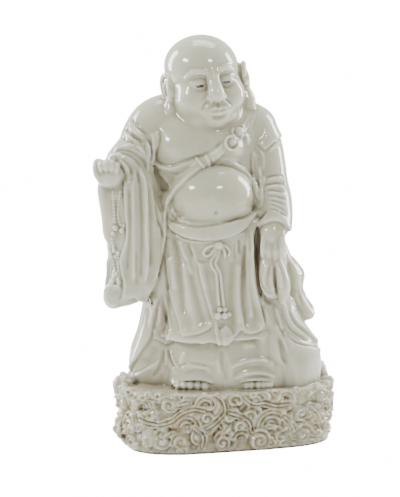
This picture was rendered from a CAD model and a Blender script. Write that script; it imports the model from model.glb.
import math
import time
import bpy
import numpy as np
from mathutils import Matrix, Vector


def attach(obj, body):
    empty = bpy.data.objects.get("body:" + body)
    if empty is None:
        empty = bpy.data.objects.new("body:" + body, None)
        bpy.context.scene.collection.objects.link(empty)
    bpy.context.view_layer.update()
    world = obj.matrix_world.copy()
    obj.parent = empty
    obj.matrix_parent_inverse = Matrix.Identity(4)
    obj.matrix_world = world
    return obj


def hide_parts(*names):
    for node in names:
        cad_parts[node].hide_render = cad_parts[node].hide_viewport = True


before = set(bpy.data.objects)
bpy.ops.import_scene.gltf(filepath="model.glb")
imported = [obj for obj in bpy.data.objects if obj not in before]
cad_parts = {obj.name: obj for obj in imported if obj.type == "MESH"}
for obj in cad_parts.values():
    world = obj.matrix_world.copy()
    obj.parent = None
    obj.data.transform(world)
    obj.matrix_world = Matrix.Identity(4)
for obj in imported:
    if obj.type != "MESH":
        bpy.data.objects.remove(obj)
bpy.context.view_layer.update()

# The work is laid out in elevation, in millimetres: x to the right, y to the rear, z up, as it is
# seen from its right front. It is turned and moved into the frame's plan once it is a mesh.
plan = dict(
    turn=-15.0,                     # degrees, from the elevation to the long side of the base
    shift=(12.98, 0.07),            # millimetres, the middle of the whole work in plan
)
clay = dict(
    low=(-136, -84, -4), high=(126, 84, 410),     # the block, in millimetres
    step=1.0,
    far=40.0,                       # what it holds before anything is made
    settlePasses=2, settleShare=0.8,              # how the mesh is drawn onto the surface
    triangles=186000,
)
startTime = time.time()


def report(stage):
    print(f"[{time.time() - startTime:6.1f} s] {stage}")


# Sculpting in a block of distances
# The field holds how far each point of a fine grid is outside the surface, in millimetres.

gridAxes = [np.arange(clay["low"][i], clay["high"][i] + clay["step"], clay["step"], dtype=np.float32)
            for i in range(3)]
field = np.full([len(axis) for axis in gridAxes], clay["far"], np.float32)


def block(low, high):
    spans = []
    for i in range(3):
        first = int(np.searchsorted(gridAxes[i], low[i]))
        last = int(np.searchsorted(gridAxes[i], high[i]))
        spans.append(slice(max(first - 1, 0), last + 1))
    x = gridAxes[0][spans[0]][:, None, None]
    y = gridAxes[1][spans[1]][None, :, None]
    z = gridAxes[2][spans[2]][None, None, :]
    return tuple(spans), x, y, z


def join(spans, distance, blend):
    old = field[spans]
    if blend > 0:
        overlap = np.maximum(blend - np.abs(old - distance), 0)
        field[spans] = np.minimum(old, distance) - overlap * overlap / (4 * blend)
    else:
        field[spans] = np.minimum(old, distance)


def cut(spans, distance, blend):
    old = field[spans]
    overlap = np.maximum(blend - np.abs(old + distance), 0)
    field[spans] = np.maximum(old, -distance) + overlap * overlap / (4 * blend)


def rotation(turn=0.0, lean=0.0):
    a, b = math.radians(turn), math.radians(lean)
    rz = np.array([[math.cos(a), -math.sin(a), 0], [math.sin(a), math.cos(a), 0], [0, 0, 1]])
    ry = np.array([[math.cos(b), 0, math.sin(b)], [0, 1, 0], [-math.sin(b), 0, math.cos(b)]])
    return rz @ ry


def localPoint(x, y, z, centre, matrix):
    px, py, pz = x - centre[0], y - centre[1], z - centre[2]
    return [px * matrix[0, i] + py * matrix[1, i] + pz * matrix[2, i] for i in range(3)]


def ball(centre, radii, blend=4.0, turn=0.0, lean=0.0, cutting=False):
    reach = max(radii) + blend + 3
    spans, x, y, z = block([c - reach for c in centre], [c + reach for c in centre])
    px, py, pz = localPoint(x, y, z, centre, rotation(turn, lean))
    near = np.sqrt((px / radii[0]) ** 2 + (py / radii[1]) ** 2 + (pz / radii[2]) ** 2)
    slope = np.sqrt((px / radii[0] ** 2) ** 2 + (py / radii[1] ** 2) ** 2 + (pz / radii[2] ** 2) ** 2)
    distance = near * (near - 1) / np.maximum(slope, 1e-4)
    (cut if cutting else join)(spans, distance, max(blend, 0.1))


def smoothPath(points, steps):
    points = np.array(points, float)
    padded = np.vstack([2 * points[0] - points[1], points, 2 * points[-1] - points[-2]])
    path = []
    for i in range(1, len(padded) - 2):
        a, b, c, d = padded[i - 1:i + 3]
        for t in np.linspace(0, 1, steps, endpoint=False):
            path.append(0.5 * (2 * b + (c - a) * t + (2 * a - 5 * b + 4 * c - d) * t ** 2
                               + (3 * b - a - 3 * c + d) * t ** 3))
    path.append(padded[-2])
    return np.array(path)


def spread(values, count):
    return np.interp(np.linspace(0, 1, count), np.linspace(0, 1, len(values)), values)


def strand(points, radii, blend=1.5, steps=5, cutting=False, squash=(1, 1, 1)):
    # A round bar along a line. A squash above 1 draws its section out along that axis.
    path = smoothPath(points, steps) if len(points) > 2 else np.array(points, float)
    size = spread(radii, len(path))
    reach = float(max(radii)) + blend + 2.5
    scale = np.array(squash, float)
    for a, b, ra, rb in zip(path[:-1], path[1:], size[:-1], size[1:]):
        low = np.minimum(a, b) - reach * scale
        high = np.maximum(a, b) + reach * scale
        spans, x, y, z = block(low, high)
        ab = (b - a) / scale
        length = max(float(ab @ ab), 1e-6)
        px, py, pz = (x - a[0]) / scale[0], (y - a[1]) / scale[1], (z - a[2]) / scale[2]
        t = np.clip((px * ab[0] + py * ab[1] + pz * ab[2]) / length, 0, 1)
        distance = np.sqrt((px - ab[0] * t) ** 2 + (py - ab[1] * t) ** 2 + (pz - ab[2] * t) ** 2)
        distance = (distance - (ra + (rb - ra) * t)) * float(scale.min())
        (cut if cutting else join)(spans, distance.astype(np.float32), max(blend, 0.1))


def rowsAt(rows, z):
    rows = np.array(rows, float)
    slopes = np.gradient(rows, rows[:, 0], axis=0)
    i = np.clip(np.searchsorted(rows[:, 0], z) - 1, 0, len(rows) - 2)
    span = (rows[i + 1, 0] - rows[i, 0])[:, None]
    t = np.clip((z - rows[i, 0]) / span[:, 0], 0, 1)[:, None]
    value, end = rows[i], rows[i + 1]
    start, finish = slopes[i] * span, slopes[i + 1] * span
    cube = 2 * (value - end) + start + finish
    square = -3 * (value - end) - 2 * start - finish
    return ((cube * t + square) * t + start) * t + value


def column(rows, turn=0.0, relief=None, blend=5.0, rounding=3.0):
    # Each row is a height, the middle's x and y, half the width, half the depth, and how square
    # the outline is there.
    low, high = rows[0][0], rows[-1][0]
    reach = max(max(row[3], row[4]) for row in rows) + blend + 8
    xs = [row[1] for row in rows]
    ys = [row[2] for row in rows]
    spans, x, y, z = block((min(xs) - reach, min(ys) - reach, low - blend - 2),
                           (max(xs) + reach, max(ys) + reach, high + blend + 2))
    values = rowsAt(rows, np.clip(z.ravel(), low, high))
    cx, cy, width, depth, power = (values[:, i][None, None, :].astype(np.float32) for i in range(1, 6))
    a = math.radians(turn)
    px = (x - cx) * math.cos(a) + (y - cy) * math.sin(a)
    py = (y - cy) * math.cos(a) - (x - cx) * math.sin(a)
    radius = np.sqrt(px * px + py * py) + 1e-3
    q = ((np.abs(px) / width) ** power + (np.abs(py) / depth) ** power) ** (1 / power) + 1e-4
    distance = radius * (1 - 1 / q)
    if relief is not None:
        distance = distance - relief(np.arctan2(py / depth, px / width), z)
    ends = np.maximum(low - z, z - high) + rounding
    outside = np.sqrt(np.maximum(distance + rounding, 0) ** 2 + np.maximum(ends, 0) ** 2)
    distance = np.minimum(np.maximum(distance + rounding, ends), 0) + outside - rounding
    join(spans, distance.astype(np.float32), blend)


def ramp(value, low, high):
    t = np.clip((value - low) / (high - low), 0, 1)
    return t * t * (3 - 2 * t)


# Reading the block of distances

def sample(values, points):
    p = (points - np.array(clay["low"])) / clay["step"]
    p = np.clip(p, 0, np.array(values.shape) - 1.001)
    i = p.astype(int)
    f = p - i
    result = np.zeros(len(points))
    for dx in (0, 1):
        for dy in (0, 1):
            for dz in (0, 1):
                weight = (np.where(dx, f[:, 0], 1 - f[:, 0]) * np.where(dy, f[:, 1], 1 - f[:, 1])
                          * np.where(dz, f[:, 2], 1 - f[:, 2]))
                result += weight * values[i[:, 0] + dx, i[:, 1] + dy, i[:, 2] + dz]
    return result


def slopeAt(values, points, gap):
    slope = np.zeros_like(points)
    for i in range(3):
        step = np.zeros(3)
        step[i] = gap
        slope[:, i] = sample(values, points + step) - sample(values, points - step)
    return slope / np.maximum(np.linalg.norm(slope, axis=1, keepdims=True), 1e-6)


# Carving lines
# Those of the front are drawn over the view, in the picture's own pixels, across and down.
# Those of the rear are drawn in elevation, in millimetres, x and z. Both land on the clay.

view = dict(
    distance=1700.0,                # millimetres from the eye to the target
    elevation=8.0,                  # degrees above the level
    target=(-24.0, 0.0, 193.0),
    focal=1700.0,                   # pixels
    width=400, height=497,          # pixels
    sensor=36.0,                    # millimetres, from top to bottom
    search=115.0,                   # millimetres before and behind the target where clay is looked for
    rearStart=72.0, rearSearch=150.0,             # the same for the rear: from where, and how far
)
fold = dict(
    steps=5,                        # points of a line for each one that is drawn
    feel=2.5,                       # how far round a point its slope is felt, in millimetres
    reach=2.3, creaseReach=3.2,     # how far from its line a fold is laid, in widths
    jump=14.0,                      # a longer stretch of a line crosses a gap, and isn't carved
    fade=(3.0, 7.0),                # past its height above the surface, where it fades out
    lip=0.3, lipWidth=2.2,          # the raised lips of a crease, as shares of its depth and width
    edge=0.6, edgeSteps=0.55,       # half the width of a lap's edge, in millimetres and in steps
    under=0.3, underPlace=1.3, underWidth=1.2,    # the hollow under that edge
)


def viewAxes():
    e = math.radians(view["elevation"])
    forward = np.array([0, math.cos(e), -math.sin(e)])
    up = np.array([0, math.sin(e), math.cos(e)])
    return np.array(view["target"]) - forward * view["distance"], forward, up


def onClay(drawn, side="front"):
    drawn = np.atleast_2d(np.array(drawn, float))
    if side == "front":
        eye, forward, up = viewAxes()
        across = (drawn[:, 0] - view["width"] / 2) / view["focal"]
        down = (drawn[:, 1] - view["height"] / 2) / view["focal"]
        rays = forward + across[:, None] * np.array([1, 0, 0]) - down[:, None] * up
        steps = np.arange(view["distance"] - view["search"], view["distance"] + view["search"], 1.0)
        starts = np.repeat(eye[None], len(drawn), axis=0)
    else:
        rays = np.repeat(np.array([[0.0, -1.0, 0.0]]), len(drawn), axis=0)
        steps = np.arange(0, view["rearSearch"], 1.0)
        starts = np.stack([drawn[:, 0], np.full(len(drawn), view["rearStart"]), drawn[:, 1]], 1)
    points = starts[:, None] + rays[:, None] * steps[None, :, None]
    values = sample(field, points.reshape(-1, 3)).reshape(len(drawn), len(steps))
    inside = values < 0
    first = np.where(inside.any(axis=1), inside.argmax(axis=1), values.argmin(axis=1))
    first = np.maximum(first, 1)
    row = np.arange(len(drawn))
    before, after = values[row, first - 1], values[row, first]
    t = np.where((before > 0) & (after < 0), before / np.maximum(before - after, 1e-6), 1)
    return starts + rays * (steps[first - 1] + t)[:, None]


def inView(across, down, depth):
    # The point that the picture shows at these pixels, where it lies this far to the rear.
    eye, forward, up = viewAxes()
    ray = forward + (across - view["width"] / 2) / view["focal"] * np.array([1, 0, 0])
    ray = ray - (down - view["height"] / 2) / view["focal"] * up
    return tuple(eye + ray * (depth - eye[1]) / ray[1])


def strandInView(points, radii, blend, **options):
    strand([inView(*p) for p in points], radii, blend, **options)


def slab(outline, front, rear, blend=3.0, rounding=3.0):
    # A sheet with this outline in the picture, between two depths.
    middle = (front + rear) / 2
    corners = smoothPath([inView(u, v, middle) for u, v in outline + outline[:1]], 4)[:, [0, 2]]
    low, high = corners.min(axis=0) - blend - 3, corners.max(axis=0) + blend + 3
    spans, x, y, z = block((low[0], front - blend - 3, low[1]), (high[0], rear + blend + 3, high[1]))
    px, pz = x[:, :, 0], z[:, 0, :]
    distance = np.full(np.broadcast(px, pz).shape, 1e9)
    inside = np.zeros(distance.shape, bool)
    for a, b in zip(corners, np.roll(corners, -1, axis=0)):
        ab = b - a
        t = np.clip(((px - a[0]) * ab[0] + (pz - a[1]) * ab[1]) / max(float(ab @ ab), 1e-9), 0, 1)
        distance = np.minimum(distance, np.hypot(px - a[0] - ab[0] * t, pz - a[1] - ab[1] * t))
        crosses = (a[1] > pz) != (b[1] > pz)
        inside ^= crosses & (px < ab[0] * (pz - a[1]) / (ab[1] if abs(ab[1]) > 1e-9 else 1e-9) + a[0])
    distance = np.where(inside, -distance, distance)[:, None, :] + rounding
    ends = np.abs(y - middle) - (rear - front) / 2 + rounding
    outside = np.sqrt(np.maximum(distance, 0) ** 2 + np.maximum(ends, 0) ** 2)
    distance = np.minimum(np.maximum(distance, ends), 0) + outside - rounding
    join(spans, distance.astype(np.float32), blend)


def linePath(drawn, side="front"):
    if len(drawn) > 2:
        drawn = smoothPath(drawn, fold["steps"])
    else:
        drawn = np.linspace(*np.array(drawn, float), fold["steps"])
    path = onClay(drawn, side)
    normal = slopeAt(field, path, fold["feel"])
    for _ in range(2):
        path[1:-1, 1] = (path[:-2, 1] + path[1:-1, 1] * 2 + path[2:, 1]) / 4
        normal[1:-1] = normal[:-2] + normal[1:-1] * 2 + normal[2:]
        normal /= np.maximum(np.linalg.norm(normal, axis=1, keepdims=True), 1e-6)
    return path, normal


def carve(kind, height, width, drawn, side="front", fade=(6.0, 6.0)):
    # A ridge or a crease runs along the line. A lap is an edge of cloth that lies over what is on
    # the left of the line, as one follows it: the cloth is on the right.
    path, normal = linePath(drawn, side)
    reach = fold["creaseReach" if kind == "crease" else "reach"] * width + 2
    spans, x, y, z = block(path.min(axis=0) - reach, path.max(axis=0) + reach)
    shape = field[spans].shape
    if min(shape) == 0:
        return
    best = np.full(shape, reach * reach, np.float32)
    across = np.zeros(shape, np.float32)
    outward = np.zeros(shape, np.float32)
    along = np.zeros(shape, np.float32)
    lengths = np.linalg.norm(np.diff(path, axis=0), axis=1)
    run = np.concatenate([[0], np.cumsum(lengths)])
    for i, (a, b) in enumerate(zip(path[:-1], path[1:])):
        if lengths[i] > fold["jump"] or lengths[i] < 1e-3:
            continue
        low, high = np.minimum(a, b) - reach, np.maximum(a, b) + reach
        window = tuple(slice(int(np.searchsorted(axis.ravel(), low[j])),
                             int(np.searchsorted(axis.ravel(), high[j])))
                       for j, axis in enumerate((x, y, z)))
        px, py, pz = x[window[0]] - a[0], y[:, window[1]] - a[1], z[:, :, window[2]] - a[2]
        ab = b - a
        n = normal[i]
        s = np.cross(ab / lengths[i], n)
        t = np.clip((px * ab[0] + py * ab[1] + pz * ab[2]) / lengths[i] ** 2, 0, 1)
        px, py, pz = px - ab[0] * t, py - ab[1] * t, pz - ab[2] * t
        square = px * px + py * py + pz * pz
        closer = square < best[window]
        best[window] = np.where(closer, square, best[window])
        across[window] = np.where(closer, px * s[0] + py * s[1] + pz * s[2], across[window])
        outward[window] = np.where(closer, px * n[0] + py * n[1] + pz * n[2], outward[window])
        along[window] = np.where(closer, run[i] + t * lengths[i], along[window])
    lateral = np.sqrt(np.maximum(best - outward * outward, 0))
    touched = best < reach * reach
    gate = touched * ramp(-np.abs(outward), -abs(height) - fold["fade"][1], -abs(height) - fold["fade"][0])
    start, finish = (min(v, 0.4 * run[-1]) for v in fade)
    ends = ramp(along, 0, start) if start > 0 else 1.0
    ends = ends * (ramp(run[-1] - along, 0, finish) if finish > 0 else 1.0)
    if kind == "ridge":
        lift = np.exp(-(lateral / width) ** 2)
    elif kind == "crease":
        lift = fold["lip"] * np.exp(-(lateral / (fold["lipWidth"] * width)) ** 2)
        lift = lift - np.exp(-(lateral / width) ** 2)
    else:
        sharp = max(fold["edgeSteps"] * clay["step"], fold["edge"])
        lift = ramp(across, -sharp, sharp) * np.exp(-(np.maximum(across, 0) / width) ** 2)
        lift = lift - fold["under"] * np.exp(-((across + fold["underPlace"]) / fold["underWidth"]) ** 2)
    field[spans] -= (height * lift * gate * ends).astype(np.float32)


def carveAll(folds):
    for line in folds:
        carve(*line)


def tube(drawn, radii, lift=0.0, blend=0.8):
    path, normal = linePath(drawn)
    strand((path + normal * lift).tolist(), radii, blend, 1)


def bead(spot, radii, lift=0.0, blend=0.6, cutting=False):
    path = onClay([spot])
    normal = slopeAt(field, path, fold["feel"])
    radii = radii if isinstance(radii, tuple) else (radii,) * 3
    ball(path[0] + normal[0] * lift, radii, blend, cutting=cutting)


report("clay ready")

# The robed body

robe = dict(
    turn=9.0,                       # degrees, from the elevation to the body
    rows=[
        (56, 0, 10, 90, 40, 2.5), (72, -1, 10, 95, 40, 2.4), (90, -2, 10, 93, 39, 2.3),
        (112, -5, 10, 83, 38, 2.2), (140, -8, 9, 74, 37, 2.2), (180, -10, 8, 63, 38, 2.2),
        (220, -12, 8, 57, 40, 2.2), (262, -15, 8, 58, 42, 2.2), (295, -19, 8, 64, 42, 2.3),
        (315, -20, 9, 66, 38, 2.3), (330, -21, 11, 58, 33, 2.2), (343, -19, 12, 41, 28, 2.1),
        (350, -18, 12, 26, 22, 2.0),
    ],
    pleats=dict(count=7, depth=3.0, low=56, high=250),
    underRows=[
        (56, -1, -7, 62, 45, 2.3), (80, -1, -8, 60, 46, 2.3), (112, -5, -8, 54, 44, 2.2),
        (160, -10, -8, 50, 42, 2.2), (235, -12, -8, 47, 44, 2.1),
    ],
    apronRows=[
        (110, -7, -8, 56, 51, 2.4), (122, -7, -8, 54, 49, 2.4), (160, -10, -8, 52, 46, 2.3),
        (200, -12, -8, 51, 45, 2.2), (226, -12, -8, 48, 47, 2.1),
    ],
    corner=(133, 377, -4), cornerSize=(6, 20, 8),         # the lowest point of its left edge, over the view
)
torso = [
    # Belly, chest, the two breasts and the neck: the middle, the radii and how softly each joins.
    ((-13, -15, 249), (45, 48, 37), 3), ((-22, -6, 303), (49, 33, 31), 8),
    ((-43, -22, 297), (22, 19, 18), 6), ((-4, -23, 298), (21, 19, 18), 6),
    ((-17, -3, 326), (30, 27, 14), 6),
]


def pleats(count, depth, low, high, phase=0.0):
    def relief(angle, z):
        fade = np.clip((high - z) / (high - low), 0, 1)
        return depth * fade * np.cos(count * angle + phase)
    return relief


def makeRobe():
    column(robe["rows"], robe["turn"], pleats(**robe["pleats"]), blend=0)
    column(robe["underRows"], robe["turn"], blend=5)
    column(robe["apronRows"], robe["turn"], blend=1.5, rounding=1.5)


def makeTorso():
    for middle, radii, blend in torso:
        ball(middle, radii, blend, robe["turn"])


backing = dict(
    # Clay behind the narrow gaps beside the sleeve and beside the lowered hand, along lines over
    # the view with their depth, and the gap itself between that hand and the apron.
    besideSleeve=[(168, 200, -29), (168.5, 222, -30), (168, 246, -30), (165.5, 268, -30), (162.5, 288, -28),
                  (161, 308, -23), (159.5, 326, -18)],
    besideSleeveSize=[8.5, 8.5, 8.5, 8.5, 8.0, 7.5, 6.0],
    besideHand=[(252.5, 226, -33), (253, 246, -35), (254, 270, -37), (256.5, 292, -36), (258, 306, -32)],
    besideHandSize=[8.0, 8.0, 8.0, 8.0, 6.0],
    gap=[(257.6, 227, -42), (257.2, 238, -43), (256.9, 250, -43), (256.8, 262, -45), (257.2, 274, -48),
         (258.8, 286, -47), (261.6, 297, -46)],
    gapSize=[0.8, 1.9, 2.1, 1.4, 0.7, 0.7, 1.3],
    gapSquash=(1, 4, 1),            # it is much deeper than wide
)
raisedArm = dict(
    shoulder=[(-52, 8, 320), (-67, 4, 312), (-81, -6, 297)], shoulderSize=[26.5, 27, 21.5],
    forearm=[(-82, -8, 294), (-94, -24, 288), (-104, -40, 281)], forearmSize=[19, 14.5, 11],
    # The sleeve: its outer edge over the view, its mass, its mouth and the sheet of its lining.
    edge=[(101.6, 185, -44), (103, 198, -42), (105.4, 214, -40), (107.4, 236, -38)],
    edgeSize=[3.4, 3.6, 3.4, 3.0],
    sleeveTurn=-6,
    sleeveRows=[
        (141, -102, -30, 12, 15, 2.4), (151, -95, -28, 20.5, 22, 2.6), (175, -88.5, -26, 24.5, 27, 2.6),
        (201, -87.5, -24, 27.5, 29, 2.6), (237, -89, -24, 29, 31, 2.6), (266, -93, -22, 26, 29, 2.4),
        (287, -95, -18, 17, 22, 2.2),
    ],
    mouth=(-109, -40, 151), mouthSize=(10, 10, 12),
    lining=[(140, 190), (150, 182), (163, 196), (167.5, 206), (167.5, 232), (164.5, 250), (158.5, 272),
            (150.5, 290), (145, 296), (139, 288), (137, 240)],
    liningDepths=(-30, 6),
    armpit=(160, 188, -44), armpitSize=(6, 14, 17),
)


def makeRaisedArm():
    strand(raisedArm["shoulder"], raisedArm["shoulderSize"], 6)
    strand(raisedArm["forearm"], raisedArm["forearmSize"], 6)
    strandInView(raisedArm["edge"], raisedArm["edgeSize"], 3)
    column(raisedArm["sleeveRows"], raisedArm["sleeveTurn"], blend=6, rounding=6)
    ball(raisedArm["mouth"], raisedArm["mouthSize"], 4)
    slab(raisedArm["lining"], *raisedArm["liningDepths"], blend=4, rounding=6)
    strandInView(backing["besideSleeve"], backing["besideSleeveSize"], 5)
    ball(inView(*raisedArm["armpit"]), raisedArm["armpitSize"], 5, cutting=True)


fist = dict(
    palm=(110.0, 174.5, -50), palmSize=(13.6, 12, 11.0),
    heel=(110, 181, -49), heelSize=(11.5, 10, 6.5),
    web=(100.6, 168.0, -50), webSize=(7.0, 8.0, 6.5),
    knuckles=[(101.2, 163.6), (106.4, 162.8), (111.6, 163.4), (116.4, 165.6)],
    knuckleDepths=(-58.9, -60.5, -60.5, -58.9),
    # A finger from its root over the knuckle: pixels across and down from it, millimetres to the rear.
    finger=[(1.5, -0.5, 10), (0, 0, 0), (-0.2, 3.5, -3), (0, 7.0, -0.5)], fingerSize=[3.3, 3.0, 2.9, 2.3],
    thumb=[(99.8, 161.8, -50), (96.8, 162.8, -54), (95.9, 168.4, -56), (97.0, 174.5, -57),
           (99.8, 180.0, -56)],
    thumbSize=[3.0, 3.2, 2.9, 2.9, 2.4],
)


def makeFist():
    ball(inView(*fist["palm"]), fist["palmSize"], 3)
    ball(inView(*fist["heel"]), fist["heelSize"], 3)
    ball(inView(*fist["web"]), fist["webSize"], 2)
    for (u, v), depth in zip(fist["knuckles"], fist["knuckleDepths"]):
        strandInView([(u + across, v + down, depth + back) for across, down, back in fist["finger"]],
                     fist["fingerSize"], 0.8)
    strandInView(fist["thumb"], fist["thumbSize"], 1.0)


loweredArm = dict(
    shoulder=(28, 12, 314), shoulderSize=(24, 22, 22),
    upper=[(27, 12, 312), (34, 9, 290), (40, 2, 258)], upperSize=[21.5, 22.5, 21.5],
    lower=[(41, 0, 256), (46.5, -14, 240), (51, -30, 222)], lowerSize=[21, 18.5, 14],
)


def makeLoweredArm():
    ball(loweredArm["shoulder"], loweredArm["shoulderSize"], 8)
    strand(loweredArm["upper"], loweredArm["upperSize"], 6)
    strand(loweredArm["lower"], loweredArm["lowerSize"], 5)


sack = dict(
    rows=[
        (56, 68, -1, 27, 36, 2.3), (82, 69, -1, 28, 36, 2.2), (105, 65, -4, 25, 31, 2.1),
        (128, 58, -12, 17, 22, 2.0), (160, 51, -26, 11, 14, 2.0), (196, 49, -36, 12, 11, 2.0),
    ],
    pleats=dict(count=4, depth=1.2, low=50, high=220, phase=0.5),
    # What joins it to the robe, and the sleeve that hangs behind it, with its outline over the view.
    besideRows=[
        (56, 44, -6, 24, 37, 2.2), (90, 44, -7, 23, 36, 2.2), (125, 40, -9, 19, 33, 2.1),
        (160, 36, -10, 15, 28, 2.0), (190, 32, -8, 12, 24, 2.0),
    ],
    sleeve=[(282, 232), (289, 250), (293, 259), (300, 267), (303, 274), (301.4, 284), (302.6, 291.5),
            (309, 303), (314.6, 311), (312.6, 317.5), (304.5, 320.5), (296, 324), (287, 334), (272, 330),
            (266, 300), (266, 250)],
    sleeveDepths=(-10, 18),
)


def makeSack():
    column(sack["besideRows"], 0, blend=7, rounding=6)
    column(sack["rows"], 0, pleats(**sack["pleats"]), blend=5, rounding=4)
    slab(sack["sleeve"], *sack["sleeveDepths"], blend=4, rounding=12)
    ball(inView(*robe["corner"]), robe["cornerSize"], 4)
    strandInView(backing["besideHand"], backing["besideHandSize"], 4)


hand = dict(
    back=(272.0, 236.5, -38), backSize=(12.8, 12, 16.5),
    fingers=[((264.0, 242), (262.4, 249), (263.4, 256.5)), ((269.4, 243), (268.6, 251), (270.2, 259)),
             ((275.4, 243), (275.4, 251), (275.0, 259.5)), ((281.4, 241), (282.2, 248), (279.4, 256.5))],
    fingerDepths=(-45.5, -48.0, -45.5),
    root=(-8, -41.5),               # where a finger starts: pixels above its first joint, and its depth
    fingerSize=[3.0, 3.6, 3.3, 2.4],
    thumb=[(261.4, 232, -36), (259.8, 241, -39), (260.8, 250, -42)], thumbSize=[3.4, 3.4, 2.6],
)
bundle = dict(
    # The end of the cloth that the hand holds: two lobes, each along a line over the view.
    left=[(270, 256, -42), (266.6, 266, -43), (265.8, 277, -43), (269.5, 289, -42), (274, 295, -40)],
    leftSize=[5.5, 7.4, 8.4, 7.2, 3.4],
    right=[(274, 257, -42), (278, 268, -43), (281.6, 280, -44), (283, 290, -43), (282, 302, -40)],
    rightSize=[5.0, 6.4, 6.8, 6.2, 2.2],
)


def makeHand():
    strandInView(bundle["left"], bundle["leftSize"], 2.2)
    strandInView(bundle["right"], bundle["rightSize"], 2.2)
    ball(inView(*hand["back"]), hand["backSize"], 4)
    for finger in hand["fingers"]:
        root = (finger[0][0], finger[0][1] + hand["root"][0], hand["root"][1])
        joints = [(u, v, depth) for (u, v), depth in zip(finger, hand["fingerDepths"])]
        strandInView([root] + joints, hand["fingerSize"], 1.2)
    strandInView(hand["thumb"], hand["thumbSize"], 1.4)


makeRobe()
makeTorso()
makeRaisedArm()
makeLoweredArm()
makeSack()
makeFist()
makeHand()
report("masses")

# The head
# Its own frame has its middle between the ears at the height of the eyes: x to its left,
# y to the back and z up. Each lump is its middle, its radii and how softly it joins.

head = dict(
    place=(-19.5, -10.0, 360.4), turn=14.0, lean=-8.0,
    skull=[((0, 3, 12), (35, 40, 32.6), 4), ((-4, 4, 17), (32.5, 36, 27.6), 4)],
    jaw=[((0, -4, -14), (34, 34, 28), 9), ((0, -6, -35), (28, 28, 11), 5)],
    chin=[((0, -26, -25), (16, 12, 10), 9), ((0, -28, -36), (10, 7.5, 7), 6)],
    cheek=((18, -20, -15), (14, 13.5, 14), 10),
    start=-62.0, search=60.0, step=0.5,           # from where, and how far, the face is looked for
)
headMatrix = rotation(head["turn"], head["lean"])


def inHead(p):
    return tuple(headMatrix @ np.array(p, float) + np.array(head["place"]))


def headBall(centre, radii, blend=4.0, side=1, turn=0.0, cutting=False):
    x, y, z = centre
    ball(inHead((side * x, y, z)), radii, blend, head["turn"] + turn, head["lean"], cutting=cutting)


def headStrand(points, radii, blend=1.0):
    strand([inHead(p) for p in points], radii, blend)


def makeSkull():
    for lump in head["skull"] + head["jaw"] + head["chin"]:
        headBall(*lump)
    for side in (-1, 1):
        headBall(*head["cheek"], side)


def onFace(points):
    # Where points of the face's own plane, x and z, meet the clay from the front.
    points = np.array(points, float)
    starts = np.stack([points[:, 0], np.full(len(points), head["start"]), points[:, 1]], 1)
    starts = starts @ headMatrix.T + head["place"]
    steps = np.arange(0, head["search"], head["step"])
    along = headMatrix @ np.array([0, 1.0, 0])
    spots = (starts[:, None] + along * steps[None, :, None]).reshape(-1, 3)
    values = sample(field, spots).reshape(len(points), -1)
    first = np.maximum((values < 0).argmax(axis=1), 1)
    row = np.arange(len(points))
    before, after = values[row, first - 1], values[row, first]
    reach = steps[first - 1] + head["step"] * np.clip(before / np.maximum(before - after, 1e-6), 0, 1)
    return starts + along * reach[:, None]


def faceLine(drawn, radii, lift=0.0, blend=1.0, side=1, cutting=False):
    # A roll or a groove along a line over the face.
    path = smoothPath([(side * x, z) for x, z in drawn], 5)
    path = onFace(path) + (headMatrix @ np.array([0, -lift, 0]))
    path[1:-1] = (path[:-2] + 2 * path[1:-1] + path[2:]) / 4
    strand(path.tolist(), radii, blend, 1, cutting)


face = dict(
    eye=(13.4, 0.2), socket=(12, 6, 8.0), socketOut=4.2, lid=(8.8, 6.6, 5.4), lidIn=5.4,
    muzzle=((0, -32.5, -27.4), (14, 6.6, 8), 6),
    # Each line is its points, x and z, its radii, how far out it lies and how softly it joins.
    lidLine=([(5.9, -1.2), (9, -1.5), (13.4, -2.2), (17.8, -1.6), (21.4, 0.2)],
             [0.5, 0.8, 0.9, 0.8, 0.4], 0.35, 0.6),
    lidFold=([(6.2, 2.2), (9.2, 4.6), (13.6, 5.7), (18, 4.6), (21.6, 1.9)],
             [0.4, 0.6, 0.6, 0.5, 0.3], 0.2, 1.0),
    under=([(7.4, -5.0), (11, -6.6), (15, -6.7), (19.6, -4.6)], [0.4, 0.6, 0.6, 0.3], 0.2, 1.4),
    brow=([(4.6, 8.6), (8.6, 11.3), (14.4, 12.3), (20.2, 10.5), (24.6, 6.8)],
          [0.9, 1.5, 1.6, 1.3, 0.7], -0.5, 2.6),
    upperLip=([(0.0, -25.6), (2.6, -24.9), (6.4, -25.6), (11.0, -26.0)], [1.5, 1.7, 1.4, 0.7], -0.5, 1.2),
    lowerLip=([(0.0, -29.6), (4.6, -29.0), (9.2, -27.2)], [2.0, 1.8, 0.9], -0.7, 1.6),
    mouth=([(0.0, -27.3), (3.2, -27.0), (7.0, -27.2), (10.6, -26.5), (13.0, -25.0)],
           [0.8, 0.8, 0.8, 0.7, 0.6], 0.4, 0.7),
    smile=([(8.6, -17.0), (12.4, -20.0), (14.8, -24.0)], [0.6, 0.8, 0.5], 0.3, 2.2),
    lipGroove=([(0, -19.6), (0, -21.4), (0, -23.4)], [0.8, 0.9, 0.8], 0.35, 1.2),
    chinFold=([(-6, -33.4), (0, -34.2), (6, -33.4)], [0.7, 1.2, 0.7], 0.3, 2.4),
)
nose = dict(
    bridge=[(0, -34.0, 9), (0, -35.6, 2), (0, -39.0, -6), (0, -42.0, -12.6)], bridgeSize=[2.8, 3.2, 4.2, 5.6],
    tip=((0, -42.0, -16.0), (3.4, 3.4, 2.8), 2),
    wing=((6.0, -39.6, -15.2), (4.0, 4.6, 3.7), 2.2),
    nostril=((3.6, -42.0, -18.9), (1.8, 2.4, 1.3), 0.6),
)
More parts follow.
